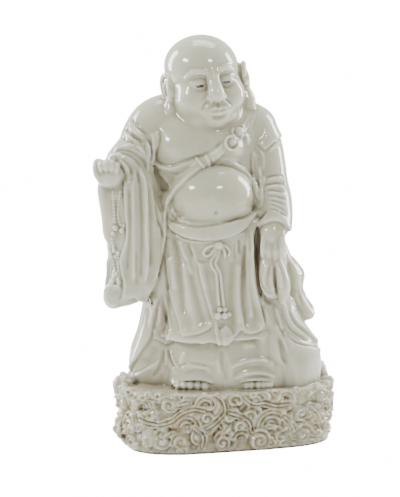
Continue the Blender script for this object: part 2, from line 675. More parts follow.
ear = dict(
    root=36.0,                      # where the shell starts to stand out, from the middle
    flare=0.86, open=24.0,          # how far it stands out, and degrees away from the head
    shift=2.6, drop=-3.5,           # to the figure's left, because the head is turned, and down
    backs=[((32, 5, -3), (8, 9, 17)), ((31, 2, -25), (7, 9, 12))],
    shell=(36.4, 4, -1), shellSize=(4.4, 11, 15.5),
    rim=[(35.5, -5.5, 0), (37, -4.6, 8), (39.6, 1.5, 14.4), (42, 9, 13), (43.4, 13.6, 5), (42.4, 12.6, -6),
         (40, 8.4, -14)],
    rimSize=[1.6, 2.1, 2.3, 2.4, 2.3, 2.2, 2.4],
    fold=[(39.5, 3.2, 8.4), (42, 7.8, 5), (42.4, 8.4, -3), (39.6, 4.6, -9.6)], foldSize=[1.3, 1.7, 1.6, 1.5],
    hollow=(40.6, 2, -1.5), hollowSize=(3.6, 4.2, 6.4),
    flap=(37.4, -5.6, -3.4), flapSize=(2.4, 2.4, 3.6),
    lobe=[(37.6, 4.0, -12), (38.6, 2.2, -21), (38.4, -0.4, -29)], lobeSize=[5.6, 7.6, 6.6],
)


def makeEye(side):
    x, z = face["eye"]
    middle = onFace([(side * x, z)])[0]
    inward = headMatrix @ np.array([0, 1.0, 0])
    ball(tuple(middle - inward * face["socketOut"]), face["socket"], 5, head["turn"], head["lean"],
         cutting=True)
    ball(tuple(middle + inward * face["lidIn"]), face["lid"], 1.8, head["turn"], head["lean"])
    faceLine(*face["brow"], side)
    for line in ("lidFold", "lidLine", "under"):
        faceLine(*face[line], side, cutting=True)


def makeNose():
    headStrand(nose["bridge"], nose["bridgeSize"], 5)
    headBall(*nose["tip"])
    for side in (-1, 1):
        headBall(*nose["wing"], side)
        headBall(*nose["nostril"], side, cutting=True)


def makeMouth():
    headBall(*face["muzzle"])
    for side in (-1, 1):
        faceLine(*face["upperLip"], side)
        faceLine(*face["lowerLip"], side)
        faceLine(*face["mouth"], side, cutting=True)
        faceLine(*face["smile"], side, cutting=True)
    faceLine(*face["lipGroove"], cutting=True)
    faceLine(*face["chinFold"], cutting=True)


def makeEar(side):
    def placed(points):
        return [(side * (ear["root"] + (x - ear["root"]) * ear["flare"]) + ear["shift"], y, z + ear["drop"])
                for x, y, z in points]

    for (x, y, z), size in ear["backs"]:
        headBall((side * x + ear["shift"], y, z), size, 3)
    headBall(placed([ear["shell"]])[0], ear["shellSize"], 2, turn=side * ear["open"])
    headStrand(placed(ear["rim"]), ear["rimSize"], 0.8)
    headStrand(placed(ear["fold"]), ear["foldSize"], 1.0)
    headBall(placed([ear["hollow"]])[0], ear["hollowSize"], 1.2, cutting=True)
    headBall(placed([ear["flap"]])[0], ear["flapSize"], 1.2)
    headStrand(placed(ear["lobe"]), ear["lobeSize"], 2.0)


def makeHead():
    makeSkull()
    for side in (-1, 1):
        makeEye(side)
        makeEar(side)
    makeNose()
    makeMouth()


makeHead()
report("head")

# The base
# A rock washed by waves. Its wall is laid out flat, along and up, and the relief is laid on it.

base = dict(
    height=60.0, length=206.0, depth=124.0, turn=15.0, power=3.5,
    rimLean=4.0, footLean=3.0, inset=1.5,         # how far the wall leans out at its rim and its foot
    core=8.0,                       # how deep the relief is let into the wall
    step=0.8, strip=(-4, 72), seed=11,            # how finely, and from where to where up
    band=14.0,                      # how near to the wall the relief is laid
    proud=5.6, over=0.25,           # how far the relief stands out freely, and what is left of the rest
    crisp=0.6,                      # how much the carving's edges are sharpened
    footFade=6.0, footShare=0.2,    # the relief dies out towards the foot
    footDraw=1.6, footHeight=2.2,   # the foot draws in, so that the edge casts a line
    topSwell=0.7, topPitch=(7.0, 6.0), rimRound=2.5,
)
water = dict(
    ripple=11.0, rippleHeight=0.45,               # from one crest to the next, and how high it is
    bends=(5, 9, 14, 23), bend=60.0, climb=0.06,  # how the lines sway on their way round
    spacing=0.618034,               # share of the way round from one wave to the next
    rise=(4, 58), anyAim=(0, 6.28),
)
curl = dict(
    count=64, size=(6.0, 11.0), pitch=5.6, height=4.6,
    edge=1.1, tail=0.6, dome=0.4, thread=1.35,
    low=0.45, full=16,              # a larger curl stands higher
)
arc = dict(
    count=46, size=(8.0, 15.0), pitch=4.6,
    edge=0.9, drop=0.4, ends=(-0.15, 0.1), phase=0.6, height=0.8, dish=3.0, ring=1.1,
)
sweep = dict(pitch=3.4, width=4.6, edge=1.4, height=2.6, ring=1.3, fall=0.05)
dome = dict(edge=0.88, height=4.6, flat=0.8)
knobs = dict(count=150, size=(1.4, 3.2), rise=(3, 60), height=0.8)
pits = dict(count=26, size=(1.3, 2.4), rise=(5, 58), depth=2.0)
# What stands on the wall towards the front, over the view: the place in the picture's pixels,
# and sizes in millimetres. A curl has its hand and its aim too.
waves = dict(
    arcs=[((188, 421), 15), ((269, 418), 19), ((268, 430), 12), ((206, 401), 11), ((307, 441), 12),
          ((134, 440), 10), ((283, 395), 10), ((240, 434), 11), ((168, 396), 10)],
    sweeps=[[(143, 419), (152, 423), (163, 424), (174, 421), (184, 413), (195, 409), (206, 411)],
            [(158, 391), (166, 400), (178, 405), (190, 402)],
            [(216, 392), (223, 400), (225, 411), (217, 421), (208, 428)],
            [(243, 396), (252, 403), (262, 402), (272, 405), (284, 404)],
            [(128, 392), (123, 404), (127, 417), (124, 430), (127, 441)],
            [(136, 388), (134, 402), (139, 414), (141, 428)],
            [(196, 428), (204, 436), (203, 447)], [(228, 412), (238, 415), (247, 421), (250, 432)],
            [(281, 416), (288, 424), (291, 436)], [(306, 405), (314, 414), (318, 426)]],
    curls=[((173, 405), 8.0, 1, 2.4), ((222.5, 442), 8.5, -1, 1.8), ((257, 440), 10.0, 1, 1.2),
           ((298, 434), 8.0, -1, 0.6), ((296, 413), 8.5, 1, 3.6), ((319, 396), 7.5, -1, 1.6),
           ((145.5, 396), 6.5, 1, 0.8), ((234, 400), 7.5, -1, 2.2), ((184, 441), 7.5, 1, 2.8),
           ((250, 394), 5.5, 1, 2.0), ((208, 418), 6.0, -1, 1.0), ((322, 426), 7.5, 1, 2.4),
           ((129, 430), 5.5, -1, 0.9), ((165, 434), 5.0, 1, 1.9), ((277, 437), 6.0, -1, 2.6)],
    domes=[((152.5, 437), (8.0, 10.5)), ((139, 404), (5.0, 6.0))],
)


def baseOutline():
    angle = np.linspace(-math.pi, math.pi, 1441)
    a, b, n = base["length"] / 2, base["depth"] / 2, base["power"]
    radius = ((np.abs(np.cos(angle)) / a) ** n + (np.abs(np.sin(angle)) / b) ** n) ** (-1 / n)
    points = np.stack([radius * np.cos(angle), radius * np.sin(angle)], 1)
    run = np.concatenate([[0], np.cumsum(np.linalg.norm(np.diff(points, axis=0), axis=1))])
    return angle, radius, run


def alongBase(x, y):
    a = math.radians(base["turn"])
    return x * math.cos(a) + y * math.sin(a), y * math.cos(a) - x * math.sin(a)


def onWall(drawn):
    # Where points of the picture lie on the wall: along it and up.
    angle, _, run = baseOutline()
    points = onClay(drawn)
    px, py = alongBase(points[:, 0], points[:, 1])
    along = np.unwrap(np.interp(np.arctan2(py, px), angle, run), period=run[-1])
    return np.stack([along, points[:, 2]], 1)


def baseRelief(perimeter):
    random = np.random.default_rng(base["seed"])
    s, z = np.meshgrid(np.arange(0, perimeter, base["step"]), np.arange(*base["strip"], base["step"]),
                       indexing="ij")
    flow = z.copy()
    for count in water["bends"]:
        phase, climb = random.uniform(*water["anyAim"]), random.uniform(-water["climb"], water["climb"])
        flow += water["bend"] / count * np.sin(2 * math.pi * count * s / perimeter + phase + climb * z)
    relief = water["rippleHeight"] * np.cos(2 * math.pi * flow / water["ripple"])

    def sideways(s0):
        return (s - s0 + perimeter / 2) % perimeter - perimeter / 2

    def near(s0, z0):
        ds, dz = sideways(s0), z - z0
        return np.hypot(ds, dz), np.arctan2(dz, ds)

    def lay(mask, height):
        return relief * (1 - mask) + height * mask

    def layCurl(s0, z0, size, hand, aim):
        # A curl of foam: a spiral on a round boss that runs out into a short tail.
        r, angle = near(s0, z0)
        swell = size * (1 + curl["tail"] * np.maximum(np.cos(angle - aim), 0) ** 3)
        mask = ramp(-r, -swell, -swell + curl["edge"])
        spiral = np.cos(2 * math.pi * r / curl["pitch"] - hand * (angle - aim))
        height = curl["height"] * (curl["low"] + size / curl["full"])
        return lay(mask, height * (1 - curl["dome"] * (r / swell) ** 2) + curl["thread"] * spiral)

    def layArc(s0, z0, size):
        # A wave: rings that stand over a half circle.
        r, angle = near(s0, z0 - arc["drop"] * size)
        mask = ramp(-r, -size, -size + arc["edge"]) * ramp(np.sin(angle), *arc["ends"])
        rings = np.cos(2 * math.pi * (size - r) / arc["pitch"] - arc["phase"])
        return lay(mask, arc["dish"] * (r / size) ** 2 + arc["height"] + arc["ring"] * rings)

    def laySweep(path):
        # Long locks of water, side by side along a line.
        best, side = np.full(s.shape, 1e9), np.zeros(s.shape)
        for a, b in zip(path[:-1], path[1:]):
            ab = b - a
            ds = sideways(a[0])
            t = np.clip((ds * ab[0] + (z - a[1]) * ab[1]) / (ab @ ab), 0, 1)
            dx, dz = ds - ab[0] * t, z - a[1] - ab[1] * t
            far = np.hypot(dx, dz)
            side = np.where(far < best, np.sign(ab[0] * dz - ab[1] * dx) * far, side)
            best = np.minimum(best, far)
        mask = ramp(-best, -sweep["width"], -sweep["width"] + sweep["edge"])
        rings = np.cos(2 * math.pi * side / sweep["pitch"])
        return lay(mask, sweep["height"] + sweep["ring"] * rings - sweep["fall"] * best ** 2)

    order = sorted([(random.uniform(0, 1), "arc") for _ in range(arc["count"])]
                   + [(random.uniform(0, 1), "curl") for _ in range(curl["count"])])
    for i, (_, kind) in enumerate(order):
        s0, z0 = (i * water["spacing"] % 1) * perimeter, random.uniform(*water["rise"])
        if kind == "curl":
            relief = layCurl(s0, z0, random.uniform(*curl["size"]), random.choice([-1, 1]),
                             random.uniform(*water["anyAim"]))
        else:
            relief = layArc(s0, z0, random.uniform(*arc["size"]))
    for spot, size in waves["arcs"]:
        relief = layArc(*onWall(spot)[0], size)
    for line in waves["sweeps"]:
        relief = laySweep(smoothPath(onWall(line), 3))
    for spot, radii in waves["domes"]:
        s0, z0 = onWall(spot)[0]
        r = np.hypot(sideways(s0) / radii[0], (z - z0) / radii[1])
        height = dome["height"] * np.sqrt(np.maximum(1 - (dome["flat"] * r) ** 2, 0))
        relief = lay(ramp(-r, -1, -dome["edge"]), height)
    for spot, size, hand, aim in waves["curls"]:
        relief = layCurl(*onWall(spot)[0], size, hand, aim)
    for _ in range(knobs["count"]):
        size = random.uniform(*knobs["size"])
        r = near(random.uniform(0, perimeter), random.uniform(*knobs["rise"]))[0]
        relief = relief + size * np.sqrt(np.maximum(1 - (r / size) ** 2, 0)) * knobs["height"]
    for _ in range(pits["count"]):
        size = random.uniform(*pits["size"])
        r = near(random.uniform(0, perimeter), random.uniform(*pits["rise"]))[0]
        relief = relief - pits["depth"] * np.exp(-(r / size) ** 4)
    smooth = relief
    for axis in (0, 1):
        smooth = sum(np.roll(smooth, shift, axis=axis) for shift in (-3, -2, -1, 0, 1, 2, 3)) / 7
    relief = relief + base["crisp"] * (relief - smooth)
    over = relief - base["proud"]
    return np.where(over > 0, base["proud"] + base["over"] * over, relief)


def wallDistance(x, y, z):
    angle, radius, run = baseOutline()
    px, py = alongBase(x, y)
    bearing = np.arctan2(py, px)[:, :, 0]
    wall = np.interp(bearing, angle, radius)
    along = np.interp(bearing, angle, run)
    share = np.clip(z / base["height"], 0, 1)
    lean = base["rimLean"] * share ** 1.5 + base["footLean"] * (1 - share) ** 3 - base["inset"]
    return np.hypot(px, py) - wall[:, :, None] - lean, along, px, py


def baseBlock():
    reach = base["length"] / 2 + 16
    return block((-reach, -reach, -3), (reach, reach, base["height"] + 4))


def makeCore():
    spans, x, y, z = baseBlock()
    distance = wallDistance(x, y, z)[0]
    distance = np.maximum(distance + base["core"] / 4, z - base["height"])
    join(spans, np.maximum(distance, -z).astype(np.float32), 0)


def reliefAt(relief, i, k):
    # The relief between the points that it was worked out on: i along the wall and k up it.
    i0, k0 = np.floor(i).astype(int), np.clip(np.floor(k).astype(int), 0, relief.shape[1] - 2)
    fi, fk1 = i - i0, np.clip(k - k0, 0, 1)
    n = relief.shape[0]
    return ((relief[i0 % n, k0] * (1 - fk1) + relief[i0 % n, k0 + 1] * fk1) * (1 - fi)
            + (relief[(i0 + 1) % n, k0] * (1 - fk1) + relief[(i0 + 1) % n, k0 + 1] * fk1) * fi)


def makeBase():
    relief = baseRelief(baseOutline()[2][-1])
    spans, x, y, z = baseBlock()
    distance, along, px, py = wallDistance(x, y, z)
    outer = (distance > -base["core"]) & (z < base["height"] + 1)
    field[spans] = np.where(outer, np.maximum(field[spans], distance + base["core"] - 1), field[spans])
    near = np.abs(distance) < base["band"]
    i = (along[:, :, None] / base["step"] + 0 * z)[near]
    k = ((z - base["strip"][0]) / base["step"] + 0 * distance)[near]
    lifted = reliefAt(relief, i, k)
    up = (z + 0 * distance)[near]
    lifted *= ramp(up, 0, base["footFade"]) * (1 - base["footShare"]) + base["footShare"]
    distance[near] -= lifted
    distance += base["footDraw"] * ramp(-z, -base["footHeight"], 0.4)
    swell = base["topSwell"] * np.sin(px / base["topPitch"][0]) * np.cos(py / base["topPitch"][1])
    top = z - base["height"] - swell
    rounding = base["rimRound"]
    outside = np.sqrt(np.maximum(distance + rounding, 0) ** 2 + np.maximum(top + rounding, 0) ** 2)
    distance = np.minimum(np.maximum(distance + rounding, top + rounding), 0) + outside - rounding
    join(spans, np.maximum(distance, -z).astype(np.float32), 1.5)


crests = dict(
    # Foam along the rim, highest at the two ends.
    count=30, place=(0.2, 0.8), out=1.0, drop=3.0,
    size=(2.4, 3.4), endSize=2.4, endSizes=(0.4, 1), endRise=4.5, endRises=(0.2, 1),
    # Knots of foam at the two ends: the middle in elevation, the spread and the number of lumps.
    knots=[((-101, -22, 60), (7, 9, 4), 16), ((-104, -24, 48), (4, 9, 7), 9), ((-104, -28, 18), (4, 9, 6), 9),
           ((95, 24, 65), (9, 8, 5), 16), ((103, 27, 52), (4, 9, 9), 12), ((103, 24, 19), (4.5, 9, 8), 11)],
    lump=(2.8, 4.6), tall=(0.9, 1.6), turn=(0, 90), lean=(-50, 50),
    reach=111.0,                    # how far the right end may go along the base
)


def makeCrests():
    random = np.random.default_rng(base["seed"] + 1)
    angle, radius, run = baseOutline()
    heading = math.radians(base["turn"])
    for i in range(crests["count"]):
        share = (i + random.uniform(*crests["place"])) / crests["count"]
        bearing = np.interp(share * run[-1], run, angle)
        end = abs(math.cos(bearing)) ** 2
        r = np.interp(bearing, angle, radius) + crests["out"]
        size = random.uniform(*crests["size"]) + crests["endSize"] * end * random.uniform(*crests["endSizes"])
        rise = crests["endRise"] * end * random.uniform(*crests["endRises"])
        spot = (r * math.cos(bearing + heading), r * math.sin(bearing + heading),
                base["height"] - crests["drop"] + rise)
        ball(spot, (size, size * 0.8, size), 1.2)
        ball((spot[0] * 1.02, spot[1] * 1.02, spot[2] + 0.2), (size * 0.4, size * 0.4, size * 0.45), 0.5,
             cutting=True)
    for middle, extent, count in crests["knots"]:
        for _ in range(count):
            spot = np.array(middle) + np.array(extent) * random.uniform(-1, 1, 3)
            size = random.uniform(*crests["lump"])
            along = spot[0] * math.cos(heading) + spot[1] * math.sin(heading)
            back = max(along + 1.2 * size - crests["reach"], 0)
            spot[:2] -= back * np.array([math.cos(heading), math.sin(heading)])
            ball(tuple(spot), (size, size * 0.7, size * random.uniform(*crests["tall"])), 2.4,
                 turn=random.uniform(*crests["turn"]), lean=random.uniform(*crests["lean"]))


makeCore()
makeBase()
makeCrests()
report("base")

# Carving of the front
# Each fold is its kind, its height and width in millimetres, and its line over the view.

chest = [
    ("lap", 3.2, 7, [(158, 129), (159.5, 137), (158, 146), (155.5, 153), (156, 160.5), (161, 164.7),
                     (169, 166.8), (176.3, 165.4), (184.3, 162.2), (193.2, 159.1), (200.4, 156.9),
                     (206.6, 154.6), (212.9, 151.1), (219.1, 146.2), (223.6, 142.1)]),
    ("lap", 3.0, 8, [(226, 150.5), (221.8, 154.6), (214.6, 160.9), (209.3, 164.9), (203, 168),
                     (196.8, 172.5), (189.6, 177.9), (182.5, 185), (176.7, 190.4), (171.8, 198),
                     (168.3, 204), (166.6, 209)]),
    ("crease", 1.6, 1.4, [(152, 147.5), (151.8, 153), (151, 161), (152.7, 165), (158.7, 169.5)]),
    ("ridge", 1.2, 1.8, [(157, 171), (164, 177), (170, 186), (171, 190)]),
    ("crease", 1.0, 1.5, [(165, 171), (173, 174), (180, 172)]),
    ("ridge", 1.0, 2.2, [(172, 178), (182, 175), (194, 168), (200, 163)]),
    ("crease", 0.8, 2.5, [(209, 135), (208, 142), (204, 150)]),
]
strap = dict(
    edges=[
        ("lap", 1.4, 5, [(206.6, 154.6), (212.9, 151.1), (219.1, 146.2), (224.5, 141.5)]),
        ("lap", 1.4, 5, [(227, 150.5), (221.8, 154.6), (214.6, 160.9), (209.3, 164.9)]),
    ],
    keepers=[[(196.6, 158.5), (199.5, 162.5), (203.5, 167)], [(206, 156), (208, 160), (209, 165)]],
    ring=(231.2, 143.5), ringRadius=6.9, ringThickness=1.45, ringDepth=4.4,
    # The boss in the ring and the toggle: the place, the radii and how far out it lies.
    boss=((231.6, 142.4), (4.3, 3.6, 4.3), 0.6), toggle=((237.6, 132.4), (5.2, 4.6, 4.6), 1.6),
    ties=[([(234.5, 137.5), (231.8, 133), (232.6, 128.5)], [1.4, 1.2, 1.0]),
          ([(240.5, 137), (243.6, 133.6), (243.4, 129), (241, 126.6)], [1.4, 1.4, 1.2])],
    # The cloth that hangs from the toggle over the shoulder, in three folds side by side.
    hangs=(0, 3.2, 6.4),
    hang=[("ridge", 1.2, 1.5, [(242, 131.5), (245, 123), (250, 113)]),
          ("crease", 0.9, 1.2, [(243.6, 132), (246.6, 124), (251.6, 114)])],
    fold=("ridge", 2.4, 2.2, [(247.5, 133), (246.6, 139), (249.6, 145)]),
)
belly = [
    ("lap", 2.6, 8, [(252.3, 210.9), (254.6, 201), (253.7, 190.4), (250.6, 180.5), (246.1, 174.3),
                     (238.8, 169.8), (229.8, 165.8), (220.9, 164), (213, 164.6), (208, 166.5)]),
    ("lap", 2.6, 14, [(167, 217), (171, 221.5), (176, 223.2), (182.5, 224.6), (189.6, 226.4),
                      (198.6, 227.6), (211, 226.2), (223.6, 224), (234.3, 221.4), (245, 216.5),
                      (252.1, 211), (256.5, 204.5)]),
    ("lap", 2.8, 14, [(259.5, 210.9), (254, 218), (246, 227), (237, 234.1), (227.1, 238), (216.4, 240),
                      (207.5, 240.6), (195, 239.4), (185.2, 237.2), (176.3, 232.8), (170, 227.9),
                      (166.4, 223)]),
    ("ridge", 1.8, 1.6, [(170.5, 207), (173, 212), (176.3, 216.3), (181, 220), (186, 222.5)]),
    ("ridge", 1.5, 1.5, [(167.8, 213), (171, 218), (175.4, 222)]),
    ("crease", 1.3, 1.2, [(174, 218.5), (178, 216.5), (181.5, 217.5)]),
    ("ridge", 1.3, 1.4, [(177.5, 222.5), (182, 221), (187, 221.5), (193, 225)]),
    ("crease", 1.0, 1.2, [(168.5, 221), (172, 216), (172.5, 211)]),
]
girdle = dict(
    cord=[(176.5, 235.6), (183, 238.9), (190, 240.9), (199, 242), (208, 241.9), (216, 241.2), (226, 239.2),
          (236, 236.2), (243, 232.8)],
    knot=(218.7, 245.2), knotSize=(4.6, 3.8, 4.2),
    # The bow's two loops and its short end.
    loops=[
        [(215.5, 245), (211, 245.6), (206.5, 248), (203.6, 252), (205, 255.8), (209.6, 255.2), (213, 251),
         (216, 247.2)],
        [(221.5, 245), (225, 245.5), (228.3, 248.6), (229.4, 252.4), (228, 255.6)],
        [(221, 246.5), (223.4, 249.3), (224.6, 253), (225, 257)],
    ],
    cords=[
        [(217, 248), (214.6, 254.5), (211.4, 260.1), (211, 264.8), (213.4, 269.6), (215.9, 273), (216.9, 281),
         (217.6, 293), (218.8, 305)],
        [(219.2, 249.5), (216.6, 258.5), (215, 263.2), (217.5, 268.4), (220, 272.8), (221.2, 282.4),
         (222.4, 295), (223.6, 305)],
    ],
    tassels=[((219.6, 309.6), 2.7), ((224.4, 309.4), 2.5), ((217.6, 316.4), 3.6), ((224, 316), 3.4),
             ((228, 314.6), 2.6)],
)
apron = [
    ("lap", 3.0, 9, [(182, 335.5), (180.5, 328.6), (178.9, 320.6), (176.5, 312.6), (173.3, 301.5),
                     (170.9, 292.7), (168.5, 284), (166.5, 270), (166, 255)]),
    ("lap", 3.0, 9, [(215, 324), (211, 327), (207.5, 329.8), (200, 333.5), (192, 335.6), (185, 336.2),
                     (181.5, 335)]),
    ("lap", 2.2, 9, [(217.9, 343.7), (216.4, 338.9), (214.8, 331), (213.5, 322), (210.8, 313.4),
                     (206.8, 300.7), (202.8, 286.4), (199.6, 272.8), (198.4, 260)]),
    ("lap", 3.2, 9, [(266, 326.5), (258, 331.8), (250, 333.8), (244.5, 332.4), (240.5, 330.2), (237, 334.5),
                     (231, 339.8), (224.5, 343), (217.9, 343.9), (216.5, 341)]),
    ("lap", 3.4, 8, [(252, 229), (253.2, 238), (254.2, 248.9), (255, 264.8), (255.6, 276.8), (257.4, 292.7),
                     (260.2, 304.7), (263.4, 319), (265.3, 327.8)]),
    ("crease", 3.4, 2.2, [(239.5, 237.5), (239.6, 244), (239.8, 256)]),
    ("crease", 1.6, 1.6, [(234.9, 239), (234.6, 250), (234.3, 262)]),
    ("crease", 2.6, 2.6, [(244.8, 242), (243.6, 260), (242.8, 278), (242.7, 297), (244.5, 313),
                          (247.2, 330)]),
    ("crease", 2.2, 1.8, [(249.8, 230), (249.9, 240), (250.2, 254)]),
    ("crease", 2.0, 4.0, [(233.1, 258), (231.4, 278), (230.9, 297), (232.2, 314), (233.7, 337)]),
    ("ridge", 2.4, 3.2, [(238.4, 262), (237.2, 285), (237.8, 305), (240.2, 326)]),
    ("ridge", 1.8, 2.2, [(247.5, 235), (247.2, 262), (248.6, 290), (251.5, 320)]),
    ("ridge", 1.6, 1.6, [(252.2, 228), (253.0, 240), (254, 254)]),
    ("ridge", 2.6, 2.2, [(180, 238), (182, 246), (184.8, 254), (189, 264), (193, 276)]),
    ("crease", 2.6, 2.0, [(186, 240), (188.5, 246), (191.2, 253), (194, 259)]),
    ("ridge", 1.8, 2.0, [(191, 243), (193.5, 250), (196, 257), (200, 268)]),
    ("crease", 1.6, 2.2, [(194.8, 256.5), (200, 260.8), (205, 261.5), (210, 259)]),
    ("crease", 2.8, 3.6, [(172, 236), (175.5, 248), (178.3, 262), (179.9, 281), (182, 300), (184, 316)]),
    ("ridge", 2.4, 3.4, [(170.5, 236), (172, 252), (173.2, 272), (175, 292)]),
    ("crease", 2.2, 3.6, [(186, 256), (190, 270), (193.5, 283), (198, 300), (202, 316), (205.5, 327)]),
    ("ridge", 2.2, 4.4, [(184, 262), (187, 280), (190.5, 298), (194.5, 318), (196, 332)]),
    ("ridge", 1.6, 3.6, [(199.5, 262), (202, 276), (206, 292)]),
    ("crease", 1.4, 3.0, [(206, 262), (209, 282), (213, 300), (216, 318)]),
]
sleeve = [
    ("lap", 2.6, 7, [(124.5, 178), (124.2, 190), (125, 202), (125.2, 214), (126.6, 223.5), (126.9, 234),
                     (125.6, 242), (123, 250), (121, 257.7), (120.9, 264), (122.5, 273.7), (124.1, 281.6),
                     (123.5, 289.6), (121.5, 297.6), (118.5, 302)][::-1]),
    ("ridge", 2.4, 1.5, [(124.6, 184), (125.4, 202), (125.8, 214), (127.2, 224), (127.4, 234), (126, 242),
                         (123.6, 250), (121.8, 258), (121.8, 265), (123.4, 274), (124.9, 282), (124, 290)]),
    ("crease", 2.0, 1.8, [(129.6, 188), (129.6, 206), (130, 224), (129.6, 240), (128, 256), (127.6, 272)]),
    ("ridge", 2.4, 2.2, [(132, 172), (132.8, 190), (133.3, 210), (133.6, 234), (133.8, 258), (134.6, 282)]),
    ("crease", 2.6, 2.2, [(137, 168), (139.5, 180), (140.9, 196), (141.6, 216), (141.8, 238), (141, 258),
                          (140.4, 278)]),
    ("ridge", 2.6, 2.0, [(143, 172), (145.2, 186), (146.2, 204), (146.3, 230), (147.3, 250), (147, 268),
                         (144.4, 284)]),
    ("crease", 2.4, 2.4, [(149.5, 184), (150.6, 204), (151.6, 226), (152, 248), (150.6, 268)]),
    ("crease", 2.0, 2.0, [(137.2, 250), (136.8, 268), (137.6, 286)]),
    ("lap", 3.2, 6, [(166, 208), (166, 218), (166.2, 230), (165.7, 238), (163.7, 250), (161.3, 262),
                     (157.4, 273.7), (153.4, 284), (149.4, 291), (144.5, 299)]),
    ("ridge", 2.0, 1.4, [(173, 194), (169, 201), (165.8, 209), (165.1, 218), (165.3, 230), (164.8, 238),
                         (162.8, 250), (160.4, 262), (156.5, 273.5), (152.6, 283.5)]),
    ("crease", 2.4, 1.6, [(155, 203), (157, 213), (159.5, 224), (162, 233), (163.4, 240)]),
    ("lap", 2.4, 8, [(142, 302), (137.8, 300), (133.6, 297.4), (130, 299.3), (126.5, 301.8)]),
]
sleevePouch = [
    ("lap", 3.0, 9, [(109.6, 258), (109.4, 270), (108.2, 280), (105.4, 287)]),
    ("lap", 2.4, 5, [(103.8, 292), (108, 287), (114, 284.6), (119.5, 286), (121.5, 291)]),
    ("ridge", 1.6, 1.8, [(105.4, 299), (110, 303.6), (115, 304.4), (119.4, 301)]),
    ("crease", 1.8, 1.4, [(110, 245), (111.2, 258), (111, 272), (109.5, 284)]),
]
shoulder = [
    ("lap", 3.6, 7, [(146.8, 137.5), (143.3, 133.4), (138.6, 129.4), (133.9, 123.4), (131.2, 118.4)][::-1]),
    ("ridge", 2.4, 2.2, [(129, 120.5), (133, 128.6), (139.2, 134.6), (144, 138.4), (148, 139.6)]),
    ("crease", 2.2, 1.8, [(126, 127), (131.9, 134.9), (138.6, 140.4), (144, 143.8)]),
    ("ridge", 2.2, 2.2, [(122.5, 130.6), (128, 136.6), (134.6, 141.6), (141, 145.6)]),
    ("crease", 2.4, 1.8, [(122, 136), (127.5, 141.4), (133.5, 144.2), (139.5, 150)]),
    ("ridge", 1.6, 1.8, [(126.5, 146.6), (132, 145.6), (138, 148), (144.4, 154)]),
    ("crease", 1.6, 1.4, [(127, 149.6), (133, 149), (139, 152), (144, 158)]),
    ("ridge", 1.6, 1.6, [(149.3, 131.4), (152.6, 137), (154.6, 144), (153.6, 152)]),
    ("crease", 2.2, 1.6, [(146.6, 136.6), (149.6, 142.5), (150.6, 149.5), (149.6, 156.5), (147.2, 162)]),
    ("ridge", 1.8, 1.8, [(145.5, 139), (147.2, 145), (147, 152), (145.5, 158)]),
    ("crease", 1.6, 1.4, [(143.4, 141.6), (144.6, 147), (144.2, 153)]),
    ("lap", 2.6, 9, [(147, 172), (145.4, 163), (141.3, 156.8), (134.6, 151.9), (127.9, 149.9), (119.8, 149.9),
                     (113.5, 152.5)]),
    ("crease", 1.8, 1.5, [(117, 153.4), (125.2, 154), (133.2, 157.4), (138.6, 163), (140.9, 169)]),
    ("ridge", 1.6, 1.6, [(119.5, 156), (126.5, 157.4), (132.5, 161.6), (136.3, 168), (137.4, 176)]),
    ("crease", 2.0, 1.6, [(119, 158.4), (125.4, 162.4), (129.6, 167), (131.6, 174.5), (132, 184)]),
    ("ridge", 1.8, 1.7, [(117.5, 160.6), (122.9, 164), (127, 170), (128.3, 178), (128.4, 188)]),
    ("crease", 1.8, 1.5, [(133.4, 162.4), (137, 169), (138.6, 177), (139, 186)]),
    ("ridge", 1.8, 1.4, [(138.6, 165), (141.4, 172), (142.4, 180)]),
    ("lap", 2.0, 7, [(125.9, 176), (124.5, 170.3), (120.5, 162.9), (115.8, 156.9), (111.5, 155)]),
]
